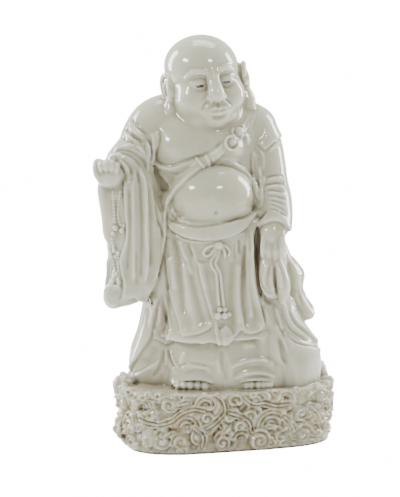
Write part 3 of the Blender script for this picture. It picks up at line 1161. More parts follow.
rightArm = [
    ("lap", 2.2, 12, [(282, 135.5), (279.9, 137.7), (275.1, 140.3), (269.5, 145.7), (264.7, 149.2),
                      (260.6, 145.7), (256, 140.9)]),
    ("ridge", 1.8, 1.7, [(266.8, 153), (270.5, 149.3), (275.5, 145.5), (280.5, 142.5)]),
    ("ridge", 1.4, 1.7, [(261, 149.6), (262.8, 156), (263.4, 163), (262.6, 171)]),
    ("lap", 2.6, 6, [(253, 149.5), (251.8, 155), (251.7, 165.4), (252.6, 176), (253.7, 187), (255.9, 196),
                     (259.5, 204)][::-1]),
    ("crease", 1.6, 1.1, [(253.9, 153), (254.6, 167), (255.5, 181), (257.9, 190.6), (260.4, 199.6)]),
    ("ridge", 1.8, 1.5, [(259, 165), (260, 178), (261.5, 190), (262, 201), (259.5, 206.5), (256.5, 208.5)]),
    ("ridge", 1.8, 1.4, [(256.2, 202.5), (257.8, 206), (260, 208.5)]),
    ("ridge", 1.6, 1.5, [(262.5, 174.5), (263.2, 181), (263, 188)]),
    ("crease", 2.0, 1.3, [(264.4, 178.6), (271.9, 175.6), (279.9, 175.6), (285.6, 177)]),
    ("crease", 2.6, 1.4, [(263.5, 185.8), (270.3, 183.9), (278.3, 182.8), (286, 184.4)]),
    ("crease", 2.6, 1.4, [(263.4, 191.4), (270.3, 189.9), (277.5, 191), (284, 193.5)]),
    ("crease", 2.2, 1.3, [(266, 196.6), (271, 195.5), (278.3, 196.7), (286, 199.6)]),
    ("crease", 2.2, 1.3, [(267, 201.4), (271.5, 200.3), (277.5, 201.9), (286, 205.6)]),
    ("crease", 2.0, 1.3, [(268, 205.8), (272, 204.7), (278.3, 206.7), (286.5, 212)]),
    ("crease", 1.8, 1.4, [(267, 210.4), (272, 209.3), (279, 211.5), (287, 217.6)]),
    ("ridge", 2.2, 1.6, [(266, 181.4), (273, 179.3), (281, 179.3), (286.5, 181)]),
    ("ridge", 2.0, 1.6, [(265.6, 188), (272, 186.6), (279, 187), (286.5, 190)]),
    ("ridge", 1.8, 1.5, [(266.6, 193.8), (272, 192.8), (279, 193.7), (287, 196.8)]),
    ("crease", 2.0, 2.2, [(267.9, 208.7), (261.5, 216.2), (257, 221)]),
    ("ridge", 1.6, 2.0, [(270.5, 212.5), (264.5, 218.5), (259, 224)]),
    ("lap", 2.8, 6, [(290, 233), (287, 228), (281, 222.6), (274, 221), (267.3, 223), (260.5, 226.4),
                     (257.5, 230)]),
]
loweredHand = [
    ("lap", 2.0, 6, [(274, 296), (268, 292.5), (262, 286.5), (259, 279), (258, 271), (258.9, 263)][::-1]),
    ("ridge", 1.5, 1.4, [(268.6, 262), (265, 270), (263.4, 280), (266, 289)]),
    ("crease", 1.4, 1.2, [(270.6, 263), (268.2, 272), (267.6, 282), (270, 291)]),
    ("ridge", 1.4, 1.2, [(272.4, 262), (271.4, 272), (272, 283), (274, 293)]),
    ("crease", 2.2, 1.4, [(274.4, 264), (275, 275), (275.6, 286), (276.8, 297)]),
    ("ridge", 1.3, 1.2, [(275.6, 262), (279, 271), (281.2, 281), (280.4, 292)]),
    ("crease", 1.2, 1.1, [(277.6, 263), (281.4, 271), (284.4, 280), (285, 290)]),
    ("crease", 1.2, 1.0, [(276.5, 289.2), (281, 289.6), (287, 288.4)]),
    ("crease", 3.4, 3.0, [(263, 294), (267.5, 300), (272.5, 304.5)]),
]
sackFolds = [
    ("ridge", 2.6, 1.7, [(275.8, 304), (276.6, 310), (278, 316), (280.2, 323), (283, 331)]),
    ("ridge", 2.4, 1.6, [(283.4, 302), (286.1, 311.4), (289.9, 320.6), (295.3, 328.3), (302.2, 334.4),
                         (309, 340)]),
    ("crease", 2.2, 1.5, [(280.5, 306), (283, 315), (287.6, 324.5), (294, 332), (303.7, 338.5)]),
    ("lap", 2.8, 7, [(284, 333), (290, 339.6), (297, 344), (308.3, 347.4), (319, 348.4)]),
    ("ridge", 1.8, 1.6, [(282, 331), (288, 336.6), (297, 341.4), (307, 344.5), (317, 345.4)]),
    ("lap", 2.6, 6, [(319.5, 344.5), (312, 337.6), (304.5, 330), (297, 324), (292, 317), (289, 309)]),
    ("ridge", 2.2, 2.0, [(274.5, 322), (277.5, 330), (281.5, 338), (286, 347), (289, 356)]),
    ("crease", 3.0, 4.5, [(268, 322), (269.5, 334), (271.2, 346), (273.5, 358), (278, 368)]),
    ("crease", 2.4, 3.0, [(278.6, 336), (281, 346), (283.5, 357), (286, 366)]),
    ("ridge", 1.6, 1.6, [(280.5, 358), (283.5, 364.5), (287, 371)]),
    ("ridge", 1.8, 1.8, [(263.6, 304.5), (265.8, 312), (268.3, 320)]),
    ("ridge", 1.4, 1.4, [(266.6, 330), (266.6, 340), (267.6, 352), (269, 360)]),
]
hangingSleeve = [
    ("ridge", 2.0, 1.6, [(290.3, 296), (293.5, 303), (296.2, 311.5)]),
    ("crease", 2.4, 3.0, [(286, 256), (289.4, 268), (291.8, 282), (293, 296)]),
    ("ridge", 1.6, 2.2, [(296.2, 268), (298, 282), (300.5, 296)]),
    ("crease", 1.6, 2.4, [(297.5, 287), (300, 298), (303.5, 308)]),
    ("ridge", 2.0, 1.8, [(291, 254), (295.5, 262), (301, 269), (303, 275), (301.6, 285), (304, 292),
                         (310, 303), (314, 311)]),
]
robeLeft = [
    ("lap", 3.6, 9, [(159.5, 296), (157.5, 303.4), (154.8, 315.4), (153.5, 323.5), (151.5, 332.8),
                     (148.8, 340.2), (145.4, 345.6), (141.4, 352.2), (136.1, 360.3), (132.4, 367),
                     (131, 373)]),
    ("ridge", 2.0, 1.7, [(153, 325), (150.4, 335), (147.8, 341), (144, 347.5), (139.6, 354), (134.5, 361.5)]),
    ("crease", 2.0, 1.8, [(161, 292), (163, 304), (165.2, 315), (167, 326)]),
    ("ridge", 1.6, 1.8, [(158.5, 302), (159.6, 314), (159.6, 326)]),
    ("ridge", 1.6, 1.8, [(164.8, 294), (167.2, 306), (169.4, 317), (171, 330)]),
    ("ridge", 2.2, 2.0, [(154.8, 326), (155.4, 333), (154, 337)]),
    ("crease", 2.6, 2.4, [(167.4, 326), (167.6, 331), (166.6, 335)]),
    ("ridge", 1.8, 1.6, [(171.4, 328), (171.4, 334), (169.5, 340)]),
    ("ridge", 1.4, 1.5, [(163.6, 329), (162.6, 334), (163.4, 339)]),
    ("lap", 3.2, 8, [(214.5, 341), (207, 341), (200.3, 342.3), (191, 343.3), (183.6, 342.3), (177.6, 340.3),
                     (173.5, 340), (170.9, 342.8), (166.2, 343.8), (160.2, 341), (156, 338.8),
                     (151.6, 338.6)]),
    ("crease", 4.6, 6.0, [(152.5, 343), (155, 350), (150, 357), (143.5, 364)]),
    ("lap", 2.4, 6, [(161.5, 359), (155, 363.4), (147, 368), (140, 372), (133, 375.5)][::-1]),
    ("crease", 3.4, 1.8, [(163.4, 346.5), (163.2, 353.6), (161.8, 360.3), (159.7, 367), (156.3, 373),
                          (151.5, 378)]),
    ("ridge", 2.4, 1.8, [(166, 348.5), (167, 356), (166.8, 363), (165.6, 370)]),
    ("crease", 2.4, 1.5, [(167.8, 347), (169.8, 357), (173, 365.6), (176.4, 371)]),
    ("ridge", 2.2, 1.8, [(170.6, 348), (173, 357), (176.8, 365.6), (181, 371)]),
    ("lap", 1.8, 5, [(213.5, 369.5), (207, 367), (200.3, 365.4), (191, 364.2), (184.3, 365.6),
                     (178.5, 369.4)][::-1]),
    ("crease", 1.3, 1.6, [(184, 374.5), (193, 371.4), (201, 371), (209, 374)]),
    ("lap", 2.8, 5, [(214.5, 385), (207, 381.6), (200.3, 380.2), (191, 380.2), (181.6, 381.6), (175.6, 383.8),
                     (169.5, 386.6)]),
    ("ridge", 1.8, 3.0, [(185, 350), (183, 358), (179.5, 366)]),
    ("crease", 2.2, 3.0, [(221.6, 347), (222.4, 357.3), (224, 366.5), (226, 374.2), (226.5, 382)]),
    ("ridge", 1.6, 2.0, [(217, 356), (218.6, 366), (220.4, 376)]),
]
robeRight = [
    ("ridge", 2.2, 2.0, [(230, 371), (234.1, 366.2), (241.7, 362.9), (250.9, 360.2), (261.6, 359.8),
                         (270, 361.4), (275.6, 366.8)]),
    ("crease", 1.8, 2.6, [(232, 377), (238, 370), (246, 366.8), (255, 366.4), (266, 367), (273, 371)]),
    ("ridge", 2.4, 1.9, [(234.5, 382), (238.7, 377), (246.3, 373.6), (258.6, 372.4), (270, 374.4),
                         (277, 378)]),
    ("crease", 2.0, 1.6, [(240, 380.5), (246, 377.8), (254, 376.4), (264.7, 376.6), (272, 379)]),
    ("ridge", 1.4, 1.3, [(243, 380.2), (252, 379.2), (262, 379.2), (270, 380.4)]),
    ("lap", 2.6, 5, [(275.5, 384), (270, 381.4), (262, 380.6), (250, 380.6), (243, 381.8), (238.5, 385)]),
    ("ridge", 1.4, 2.6, [(240, 346), (249, 345), (257, 346)]),
    ("crease", 2.6, 2.6, [(266.8, 333), (267.8, 345), (269, 357), (272, 366)]),
    ("crease", 1.5, 1.6, [(229, 357), (227, 364), (228.6, 372)]),
]
for region in (shoulder, sleeve, sleevePouch, chest, belly, apron, rightArm, loweredHand, sackFolds,
               hangingSleeve, robeLeft, robeRight, strap["edges"]):
    carveAll(region)
strandInView(backing["gap"], backing["gapSize"], 2.6, cutting=True, squash=backing["gapSquash"])
report("front folds")

# Carving of the rear, in elevation: a collar, wide swags between the shoulders and long pleats.

rear = dict(
    collar=("lap", 2.0, 8, [(-52, 330), (-38, 322), (-20, 319), (-2, 322), (14, 330)]),
    swags=[(326, 22, 1.6), (304, 34, 2.2), (276, 40, 2.0), (246, 34, 1.4)],     # height, sag, relief
    swagSpan=(-64, 34), swagWidth=3.2, swagFade=(22, 22),
    under=7, underShare=0.6, underWidth=3.0, underFade=(24, 24),      # the hollow below each swag
    pleats=[(-52, -70, 2.6), (-30, -38, 2.2), (-8, -6, 2.8), (14, 26, 2.2), (33, 58, 2.6)],
    pleatTop=236, pleatFoot=64, pleatWidth=4.5, pleatFade=(60, 4),
    beside=8, besideShare=0.7, besideWidth=4.0, besideFade=(70, 4),   # the swell beside each pleat
    hem=("ridge", 1.2, 2.2, [(-88, 72), (-50, 69), (-4, 71), (44, 69), (84, 72)]),
)


def carveRear():
    carve(*rear["collar"], side="rear")
    left, right = rear["swagSpan"]
    middle = (left + right) / 2
    for height, sag, relief in rear["swags"]:
        line = [(left, height), (left * 0.6 + middle * 0.4, height - 0.7 * sag), (middle, height - sag),
                (right * 0.6 + middle * 0.4, height - 0.7 * sag), (right, height)]
        below = [(x, z - rear["under"]) for x, z in line]
        carve("ridge", relief, rear["swagWidth"], line, "rear", rear["swagFade"])
        carve("crease", rear["underShare"] * relief, rear["underWidth"], below, "rear", rear["underFade"])
    for top, foot, depth in rear["pleats"]:
        line = [(top, rear["pleatTop"]), (0.6 * top + 0.4 * foot + 2, 170), (0.2 * top + 0.8 * foot - 1, 110),
                (foot, rear["pleatFoot"])]
        beside = [(x + rear["beside"], z) for x, z in line]
        carve("crease", depth, rear["pleatWidth"], line, "rear", rear["pleatFade"])
        carve("ridge", rear["besideShare"] * depth, rear["besideWidth"], beside, "rear", rear["besideFade"])
    carve(*rear["hem"], side="rear")


carveRear()
report("rear folds")


def makeStrap():
    for keeper in strap["keepers"]:
        tube(keeper, [1.6, 1.6, 1.6], 0.4)
    centre = onClay([strap["ring"]])[0]
    normal = slopeAt(field, centre[None], 4.0)[0]
    side = np.cross(normal, [0, 0, 1.0])
    side /= np.linalg.norm(side)
    rise = np.cross(side, normal)
    middle = centre + normal * 1.0
    circle = [middle + strap["ringRadius"] * (side * math.cos(a) + rise * math.sin(a))
              for a in np.linspace(0, 2 * math.pi, 25)]
    bead(strap["ring"], (strap["ringRadius"] - 1.2,) * 3, strap["ringDepth"], 0.8, cutting=True)
    strand([tuple(p) for p in circle], [strap["ringThickness"]] * 2, 0.5, 1)
    for name in ("boss", "toggle"):
        bead(*strap[name])
    for line, radii in strap["ties"]:
        tube(line, radii, 0.8)
    for offset in strap["hangs"]:
        for kind, height, width, line in strap["hang"]:
            carve(kind, height, width, [(u + offset, v) for u, v in line], fade=(9, 9))
    carve(*strap["fold"])


def makeBow():
    tube(girdle["cord"], [1.3, 1.5, 1.3], 0.2, 0.5)
    for cord in girdle["cords"]:
        tube(cord, [1.5, 1.45, 1.5], 0.9, 0.5)
    for loop in girdle["loops"]:
        tube(loop, [1.45, 1.5, 1.3], 1.0, 0.5)
    bead(girdle["knot"], girdle["knotSize"], 1.6)
    for spot, radius in girdle["tassels"]:
        bead(spot, radius, radius * 0.5)


feet = dict(
    # Each toe is its place over the view and its radius.
    left=dict(hollow=(191.5, 384.4), hollowSize=(18.5, 5.5, 3.4), toes=[
        (177.8, 385.8, 2.4), (183.8, 385.4, 2.9), (190.6, 385.3, 3.3), (197.8, 385.5, 3.4),
        (205.4, 386, 4.0)]),
    right=dict(hollow=(259, 384.2), hollowSize=(15.5, 5.5, 3.2), toes=[
        (246.4, 384.9, 3.5), (251, 385, 3.4), (258.2, 384.8, 3.0), (263.4, 384.9, 2.7), (267.7, 384.7, 2.4),
        (271.1, 384.3, 2.1)]),
)
toe = dict(stretch=(1.2, 2.6, 1.3), rise=0.4, back=2.0, blend=2.0)


def makeFeet():
    # A recess under the hem, with the sole's clay at its back and the toes in front.
    for foot in feet.values():
        u, v = foot["hollow"]
        width, depth, height = foot["hollowSize"]
        front = onClay([spot[:2] for spot in foot["toes"]])[:, 1].mean()
        ball(inView(u, v, front - 1), (width, depth, height), 1.0, cutting=True)
        ball(inView(u, v + 0.6, front + 4.5), (width, 7.5, height + 1.0), 1.5)
        for u, v, radius in foot["toes"]:
            ball(inView(u, v - toe["rise"], front + toe["back"]), [radius * k for k in toe["stretch"]],
                 toe["blend"])


beads = dict(
    recess=("crease", 3.2, 5.5, [(114.5, 196), (116.5, 212), (117.5, 228), (115, 244), (114, 260),
                                 (115, 276)]),
    strings=[
        [(113.2, 192), (114, 206), (114.4, 215), (114.6, 224)],
        [(120.6, 192), (118.8, 204), (118.2, 214), (120.4, 223.5), (124.6, 226)],
        [(112.4, 239), (114, 246), (114.4, 251)],
        [(113.2, 258), (114.3, 266), (116.3, 273), (117.4, 277)],
        [(119, 258), (119, 266), (119.4, 274)],
    ],
    radius=1.6, pitch=3.3,
    knots=[((116, 228), 3.0), ((122.4, 230.6), 2.8), ((113.8, 233.4), 2.4), ((111.2, 252.4), 2.6),
           ((115, 250.4), 2.4), ((118.8, 253.4), 2.5), ((112.6, 256.4), 2.2), ((116.6, 256.6), 2.2)],
    drops=[((113.5, 281.6), (2.4, 2.2, 4.2)), ((119, 282), (2.2, 2.2, 4.2))],
    knotLift=0.8, beadLift=0.5,
)
navel = dict(spot=(216.4, 213.4), radius=2.6, depth=0.6)


def makeBeads():
    carve(*beads["recess"])
    for string in beads["strings"]:
        path = smoothPath(string, 8)
        run = np.concatenate([[0], np.cumsum(np.linalg.norm(np.diff(path, axis=0), axis=1))])
        for at in np.arange(0, run[-1], beads["pitch"]):
            spot = (np.interp(at, run, path[:, 0]), np.interp(at, run, path[:, 1]))
            bead(spot, beads["radius"], beads["beadLift"], 0.4)
    for spot, radii in beads["knots"] + beads["drops"]:
        bead(spot, radii, beads["knotLift"], 0.5)


makeStrap()
makeBow()
makeFeet()
makeBeads()
bead(navel["spot"], navel["radius"], navel["depth"], 1.2, cutting=True)
report("strap and bow")

# From the block of distances to a mesh
# Each cell that the surface passes through gets one point, at the middle of its crossings.

def surfaceOf(values):
    inside = values < 0
    nx, ny, nz = values.shape
    corners = [(i, j, k) for i in (0, 1) for j in (0, 1) for k in (0, 1)]
    total = np.zeros((nx - 1, ny - 1, nz - 1), np.int8)
    for i, j, k in corners:
        total += inside[i:nx - 1 + i, j:ny - 1 + j, k:nz - 1 + k]
    cells = np.argwhere((total > 0) & (total < 8))
    number = np.full(total.shape, -1, np.int32)
    number[cells[:, 0], cells[:, 1], cells[:, 2]] = np.arange(len(cells), dtype=np.int32)
    at = {c: values[cells[:, 0] + c[0], cells[:, 1] + c[1], cells[:, 2] + c[2]] for c in corners}
    points = np.zeros((len(cells), 3))
    count = np.zeros(len(cells))
    for c in corners:
        for axis in range(3):
            if c[axis]:
                continue
            d = tuple(v + (i == axis) for i, v in enumerate(c))
            crossing = (at[c] < 0) != (at[d] < 0)
            t = np.where(crossing, at[c] / np.where(crossing, at[c] - at[d], 1), 0)
            for i in range(3):
                points[:, i] += crossing * (c[i] + (t if i == axis else 0))
            count += crossing
    points = (points / count[:, None] + cells) * clay["step"] + np.array(clay["low"])
    faces = []
    for axis in range(3):
        u, v = (axis + 1) % 3, (axis + 2) % 3
        first = [slice(1, n - 1) for n in values.shape]
        first[axis] = slice(0, values.shape[axis] - 1)
        second = list(first)
        second[axis] = slice(1, values.shape[axis])
        a, b = inside[tuple(first)], inside[tuple(second)]
        spots = np.argwhere(a != b)
        leaving = a[tuple(spots.T)]
        spots = spots + np.array([f.start for f in first])
        quad = []
        for du, dv in ((-1, -1), (0, -1), (0, 0), (-1, 0)):
            cell = spots.copy()
            cell[:, u] += du
            cell[:, v] += dv
            quad.append(number[tuple(cell.T)])
        quad = np.stack(quad, 1)
        quad[~leaving] = quad[~leaving][:, ::-1]
        faces.append(quad)
    return points, np.vstack(faces)


def spreadOut(values, radius):
    # A box average along each axis: the share of clay round each point.
    result = values
    width = max(int(round(radius / clay["step"])), 1)
    for axis in range(3):
        pad = [(0, 0)] * 3
        pad[axis] = (width + 1, width)
        summed = np.cumsum(np.pad(result, pad, mode="edge"), axis=axis, dtype=np.float32)
        n = result.shape[axis]
        high = [slice(None)] * 3
        low = [slice(None)] * 3
        high[axis] = slice(2 * width + 1, 2 * width + 1 + n)
        low[axis] = slice(0, n)
        result = (summed[tuple(high)] - summed[tuple(low)]) / (2 * width + 1)
    return result


def toMesh(name, points, faces):
    mesh = bpy.data.meshes.new(name)
    mesh.vertices.add(len(points))
    mesh.vertices.foreach_set("co", np.ascontiguousarray(points, np.float32).ravel())
    mesh.loops.add(faces.size)
    mesh.loops.foreach_set("vertex_index", faces.ravel().astype(np.int32))
    mesh.polygons.add(len(faces))
    mesh.polygons.foreach_set("loop_start", np.arange(0, faces.size, faces.shape[1], dtype=np.int32))
    mesh.update(calc_edges=True)
    mesh.validate()
    return mesh


def largestPart(points, faces):
    # Keeps the outer skin: the set of joined faces with the most points.
    label = np.arange(len(points))
    while True:
        low = label[faces].min(axis=1)
        new = label.copy()
        for i in range(faces.shape[1]):
            np.minimum.at(new, faces[:, i], low)
        new = new[new]
        if (new == label).all():
            break
        label = new
    best = np.bincount(label).argmax()
    keep = label == best
    index = np.cumsum(keep) - 1
    return points[keep], index[faces[keep[faces[:, 0]]]]


points, faces = surfaceOf(field)
report(f"surface of {len(points)} points")
points, faces = largestPart(points, faces)
report(f"outer skin of {len(points)} points")
for _ in range(clay["settlePasses"]):
    slope = slopeAt(field, points, 0.5 * clay["step"])
    points -= slope * sample(field, points)[:, None] * clay["settleShare"]
report("settled on the surface")

figureMesh = toMesh("buddhaFigure", points, faces)
figure = bpy.data.objects.new("buddhaFigure", figureMesh)
bpy.context.collection.objects.link(figure)
thin = figure.modifiers.new("thin", "DECIMATE")
thin.ratio = min(clay["triangles"] / (2 * len(faces)), 1.0)
thinned = bpy.data.meshes.new_from_object(figure.evaluated_get(bpy.context.evaluated_depsgraph_get()))
figure.modifiers.clear()
figure.data = thinned
bpy.data.meshes.remove(figureMesh)
report(f"thinned to {sum(len(p.vertices) - 2 for p in thinned.polygons)} triangles")

hollows = dict(
    # How deep a place lies: how far round it the clay is weighed, with each reach's weight.
    reaches=[(2.5, 0.55), (7.0, 0.45)], gain=3.2,
)
flat = np.empty(len(thinned.vertices) * 3, np.float32)
thinned.vertices.foreach_get("co", flat)
points = flat.reshape(-1, 3).astype(float)
normals = slopeAt(field, points, clay["step"])
solidShare = (field < 0).astype(np.float32)
pooling = np.zeros(len(points))
for radius, weight in hollows["reaches"]:
    share = sample(spreadOut(solidShare, radius), points)
    pooling += weight * np.clip((share - 0.5) * hollows["gain"], -1, 1)
report("pooling")

turn = rotation(plan["turn"])
points = points @ turn.T
points[:, 0] += plan["shift"][0]
points[:, 1] += plan["shift"][1]
points[:, 2] = np.maximum(points[:, 2], 0)
normals = normals @ turn.T
thinned.vertices.foreach_set("co", (points / 1000).astype(np.float32).ravel())
thinned.polygons.foreach_set("use_smooth", np.ones(len(thinned.polygons), bool))
attribute = thinned.attributes.new("pooling", "FLOAT", "POINT")
attribute.data.foreach_set("value", (0.5 + 0.5 * pooling).astype(np.float32))
thinned.update()
thinned.normals_split_custom_set_from_vertices(normals.tolist())
report("figure placed")

# Finish

def linear(code):
    values = [int(code[i:i + 2], 16) / 255 for i in (1, 3, 5)]
    return tuple(v / 12.92 if v <= 0.04045 else ((v + 0.055) / 1.055) ** 2.4 for v in values) + (1.0,)


def addNode(tree, kind, settings=None, inputs=None, links=None):
    node = tree.nodes.new(kind)
    for key, value in (settings or {}).items():
        setattr(node, key, value)
    for key, value in (inputs or {}).items():
        node.inputs[key].default_value = value
    for key, source in (links or {}).items():
        tree.links.new(source, node.inputs[key])
    return node


glaze = dict(
    # From edges to crevices: how deep a place lies, from 0 to 1, and the glaze's colour there.
    depths=[(0.22, "#dbdac8"), (0.48, "#bcbba0"), (0.68, "#a5a086"), (0.92, "#756b55")],
    warmth="#f3e9dc", patch=34.0, patches=(0.5, 0.75), patchShare=0.55,      # warmer patches, in millimetres
    # Iron stains on the base: their size in millimetres, where they start and end, the heights
    # between which they come in, in metres, and how strong they are.
    stain="#cdb893", clean="#fbfbf8", mottle=7.0, stains=(0.40, 0.58),
    stainTop=(0.066, 0.056), stainShare=0.75,
    bareFoot="#4a453b", footTop=(0.003, 0.002), footShare=0.85,              # the unglazed edge, in metres
    wave=7.0, waveDepth=0.00035, waveShare=0.5,   # the skin's slow waves: millimetres across, metres deep
    roughness=0.14, ior=1.5, coat=0.7, coatRoughness=0.03,
    ink="#120e0b", inkShare=0.95, pupil=(4.2, 4.0, 1.5), pupilEdge=(1.05, 0.9), pupilRise=0.3,    # iron brown
)


def inFrame(p):
    p = turn @ np.array(p, float)
    return ((p[0] + plan["shift"][0]) / 1000, (p[1] + plan["shift"][1]) / 1000, p[2] / 1000)


def pupilPlace(side):
    lid = face["lidLine"][0][2]
    return inFrame(onFace([(side * face["eye"][0], lid[1] + glaze["pupilRise"])])[0])


def headTilt():
    return Matrix((turn @ headMatrix).tolist()).to_euler()


def ivoryGlaze():
    # High-fired porcelain under a thick clear glaze: wet-looking, a little uneven, pale where it
    # ran thin over edges and warm where it lies deep in the carving.
    material = bpy.data.materials.new("ivoryGlazedPorcelain")
    material.use_nodes = True
    tree = material.node_tree
    tree.nodes.clear()
    place = addNode(tree, "ShaderNodeTexCoord").outputs["Object"]
    pool = addNode(tree, "ShaderNodeAttribute", {"attribute_name": "pooling"}).outputs["Fac"]
    tint = addNode(tree, "ShaderNodeValToRGB", links={"Fac": pool})
    stops = tint.color_ramp.elements
    for i, (position, code) in enumerate(glaze["depths"]):
        stop = stops[i] if i < 2 else stops.new(position)
        stop.position, stop.color = position, linear(code)
    patches = addNode(tree, "ShaderNodeTexNoise", inputs={"Scale": 1000 / glaze["patch"], "Detail": 3.0},
                      links={"Vector": place})
    patchShare = addNode(tree, "ShaderNodeMapRange", links={0: patches.outputs["Fac"]}, inputs={
        1: glaze["patches"][0], 2: glaze["patches"][1], 3: 0.0, 4: glaze["patchShare"]})
    warmed = addNode(tree, "ShaderNodeMix", {"data_type": "RGBA", "blend_type": "MULTIPLY"},
                     {7: linear(glaze["warmth"])}, {0: patchShare.outputs[0], 6: tint.outputs["Color"]})
    height = addNode(tree, "ShaderNodeSeparateXYZ", links={"Vector": place}).outputs["Z"]
    onBase = addNode(tree, "ShaderNodeMapRange", links={0: height}, inputs={
        1: glaze["stainTop"][0], 2: glaze["stainTop"][1], 3: 0.0, 4: glaze["stainShare"]})
    mottle = addNode(tree, "ShaderNodeTexNoise", inputs={"Scale": 1000 / glaze["mottle"], "Detail": 4.0},
                     links={"Vector": place})
    mottleTint = addNode(tree, "ShaderNodeValToRGB", links={"Fac": mottle.outputs["Fac"]})
    spots = mottleTint.color_ramp.elements
    spots[0].position, spots[0].color = glaze["stains"][0], linear(glaze["stain"])
    spots[1].position, spots[1].color = glaze["stains"][1], linear(glaze["clean"])
    mottled = addNode(tree, "ShaderNodeMix", {"data_type": "RGBA", "blend_type": "MULTIPLY"},
                      links={0: onBase.outputs[0], 6: warmed.outputs[2], 7: mottleTint.outputs["Color"]})
    bareFoot = addNode(tree, "ShaderNodeMapRange", links={0: height}, inputs={
        1: glaze["footTop"][0], 2: glaze["footTop"][1], 3: 0.0, 4: glaze["footShare"]})
    footed = addNode(tree, "ShaderNodeMix", {"data_type": "RGBA"}, {7: linear(glaze["bareFoot"])},
                     {0: bareFoot.outputs[0], 6: mottled.outputs[2]})
    colour = footed.outputs[2]
    for side in (-1, 1):
        near = addNode(tree, "ShaderNodeMapping", {"vector_type": "TEXTURE"}, {
            "Location": pupilPlace(side), "Rotation": headTilt(), "Scale": [v / 1000 for v in glaze["pupil"]],
        }, {"Vector": place})
        far = addNode(tree, "ShaderNodeVectorMath", {"operation": "LENGTH"}, links={0: near.outputs[0]})
        share = addNode(tree, "ShaderNodeMapRange", links={0: far.outputs["Value"]}, inputs={
            1: glaze["pupilEdge"][0], 2: glaze["pupilEdge"][1], 3: 0.0, 4: glaze["inkShare"]})
        painted = addNode(tree, "ShaderNodeMix", {"data_type": "RGBA"}, {7: linear(glaze["ink"])},
                          {0: share.outputs[0], 6: colour})
        colour = painted.outputs[2]
    wave = addNode(tree, "ShaderNodeTexNoise", inputs={"Scale": 1000 / glaze["wave"], "Detail": 2.0},
                   links={"Vector": place})
    bump = addNode(tree, "ShaderNodeBump", links={"Height": wave.outputs["Fac"]}, inputs={
        "Strength": glaze["waveShare"], "Distance": glaze["waveDepth"]})
    shader = addNode(tree, "ShaderNodeBsdfPrincipled", inputs={
        "Roughness": glaze["roughness"], "IOR": glaze["ior"], "Coat Weight": glaze["coat"],
        "Coat Roughness": glaze["coatRoughness"],
    }, links={"Base Color": colour, "Normal": bump.outputs["Normal"]})
    addNode(tree, "ShaderNodeOutputMaterial", links={"Surface": shader.outputs["BSDF"]})
    return material


figure.data.materials.clear()
figure.data.materials.append(ivoryGlaze())
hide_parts("buddha_figure")
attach(figure, "root")

# Floor, light and camera

studio = dict(
    backdrop=16.0,                  # how bright the paper is to the eye
    tent=(0.35, 1.5),               # light from the front and from the rear
    tentEnds=(-0.7, 0.8),           # where the one ends and the other starts, from front to rear
    cameraSide=-15.0, aim=(0, 0, 0.22),           # where the soft boxes are counted from, and point to
    # Each soft box: degrees to the right and up, metres away, its size in metres and its watts.
    boxes=dict(
        leftFront=(-62, 32, 1.3, (0.28, 0.18), 7), rightFront=(24, 40, 1.4, (0.28, 0.18), 7),
        leftEdge=(-115, 20, 1.1, (0.3, 0.9), 16), rightEdge=(112, 20, 1.1, (0.3, 0.9), 16),
        top=(170, 75, 1.4, (0.9, 0.6), 10),
    ),
)


def paleCard():
    # Matt white paper, lit until it burns out.
    material = bpy.data.materials.new("paleCard")
    material.use_nodes = True
    tree = material.node_tree
    tree.nodes.clear()
    paper = addNode(tree, "ShaderNodeBsdfDiffuse", inputs={"Color": linear("#f4f4f4")})
    glow = addNode(tree, "ShaderNodeEmission", inputs={"Strength": studio["backdrop"]})
    path = addNode(tree, "ShaderNodeLightPath")
    mixed = addNode(tree, "ShaderNodeMixShader", links={
        0: path.outputs["Is Camera Ray"], 1: paper.outputs[0], 2: glow.outputs[0]})
    addNode(tree, "ShaderNodeOutputMaterial", links={"Surface": mixed.outputs[0]})
    return material


floorMesh = bpy.data.meshes.new("floor")
floorMesh.from_pydata([(-4, -4, 0), (4, -4, 0), (4, 4, 0), (-4, 4, 0)], [], [(0, 1, 2, 3)])
floor = bpy.data.objects.new("floor", floorMesh)
floor.data.materials.append(paleCard())
bpy.context.collection.objects.link(floor)


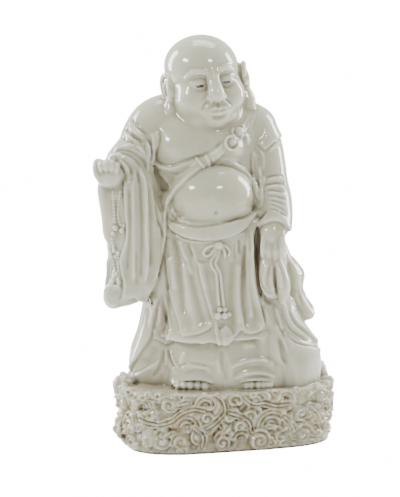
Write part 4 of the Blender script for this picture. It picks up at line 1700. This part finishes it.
def makeTent():
    # A white tent, dim towards the front and bright behind the work.
    world = bpy.data.worlds.new("studio")
    bpy.context.scene.world = world
    world.use_nodes = True
    tree = world.node_tree
    tree.nodes.clear()
    way = addNode(tree, "ShaderNodeTexCoord").outputs["Generated"]
    depth = addNode(tree, "ShaderNodeSeparateXYZ", links={"Vector": way}).outputs["Y"]
    bright = addNode(tree, "ShaderNodeMapRange", links={0: depth}, inputs={
        1: studio["tentEnds"][0], 2: studio["tentEnds"][1], 3: studio["tent"][0], 4: studio["tent"][1]})
    light = addNode(tree, "ShaderNodeBackground", inputs={"Color": (1, 1, 1, 1)},
                    links={"Strength": bright.outputs[0]})
    paper = addNode(tree, "ShaderNodeBackground",
                    inputs={"Color": (1, 1, 1, 1), "Strength": studio["backdrop"]})
    path = addNode(tree, "ShaderNodeLightPath")
    mixed = addNode(tree, "ShaderNodeMixShader", links={
        0: path.outputs["Is Camera Ray"], 1: light.outputs[0], 2: paper.outputs[0]})
    addNode(tree, "ShaderNodeOutputWorld", links={"Surface": mixed.outputs[0]})


def softBox(name, azimuth, elevation, distance, size, power):
    a, e = math.radians(azimuth + studio["cameraSide"]), math.radians(elevation)
    aim = Vector(studio["aim"])
    place = aim + Vector((math.sin(a) * math.cos(e), -math.cos(a) * math.cos(e), math.sin(e))) * distance
    light = bpy.data.lights.new(name, "AREA")
    light.shape = "RECTANGLE"
    light.size, light.size_y = size
    light.energy = power
    lamp = bpy.data.objects.new(name, light)
    lamp.location = place
    lamp.rotation_euler = (aim - place).to_track_quat("-Z", "Y").to_euler()
    bpy.context.collection.objects.link(lamp)


def makeCamera():
    eye, target = (Vector(inFrame(spot)) for spot in (viewAxes()[0], view["target"]))
    data = bpy.data.cameras.new("camera")
    data.sensor_fit = "VERTICAL"
    data.sensor_height = view["sensor"]
    data.lens = view["focal"] / view["height"] * view["sensor"]
    camera = bpy.data.objects.new("camera", data)
    camera.location = eye
    camera.rotation_euler = (target - eye).to_track_quat("-Z", "Y").to_euler()
    bpy.context.collection.objects.link(camera)
    bpy.context.scene.camera = camera


makeTent()
for name, settings in studio["boxes"].items():
    softBox(name, *settings)
makeCamera()
report("scene ready")
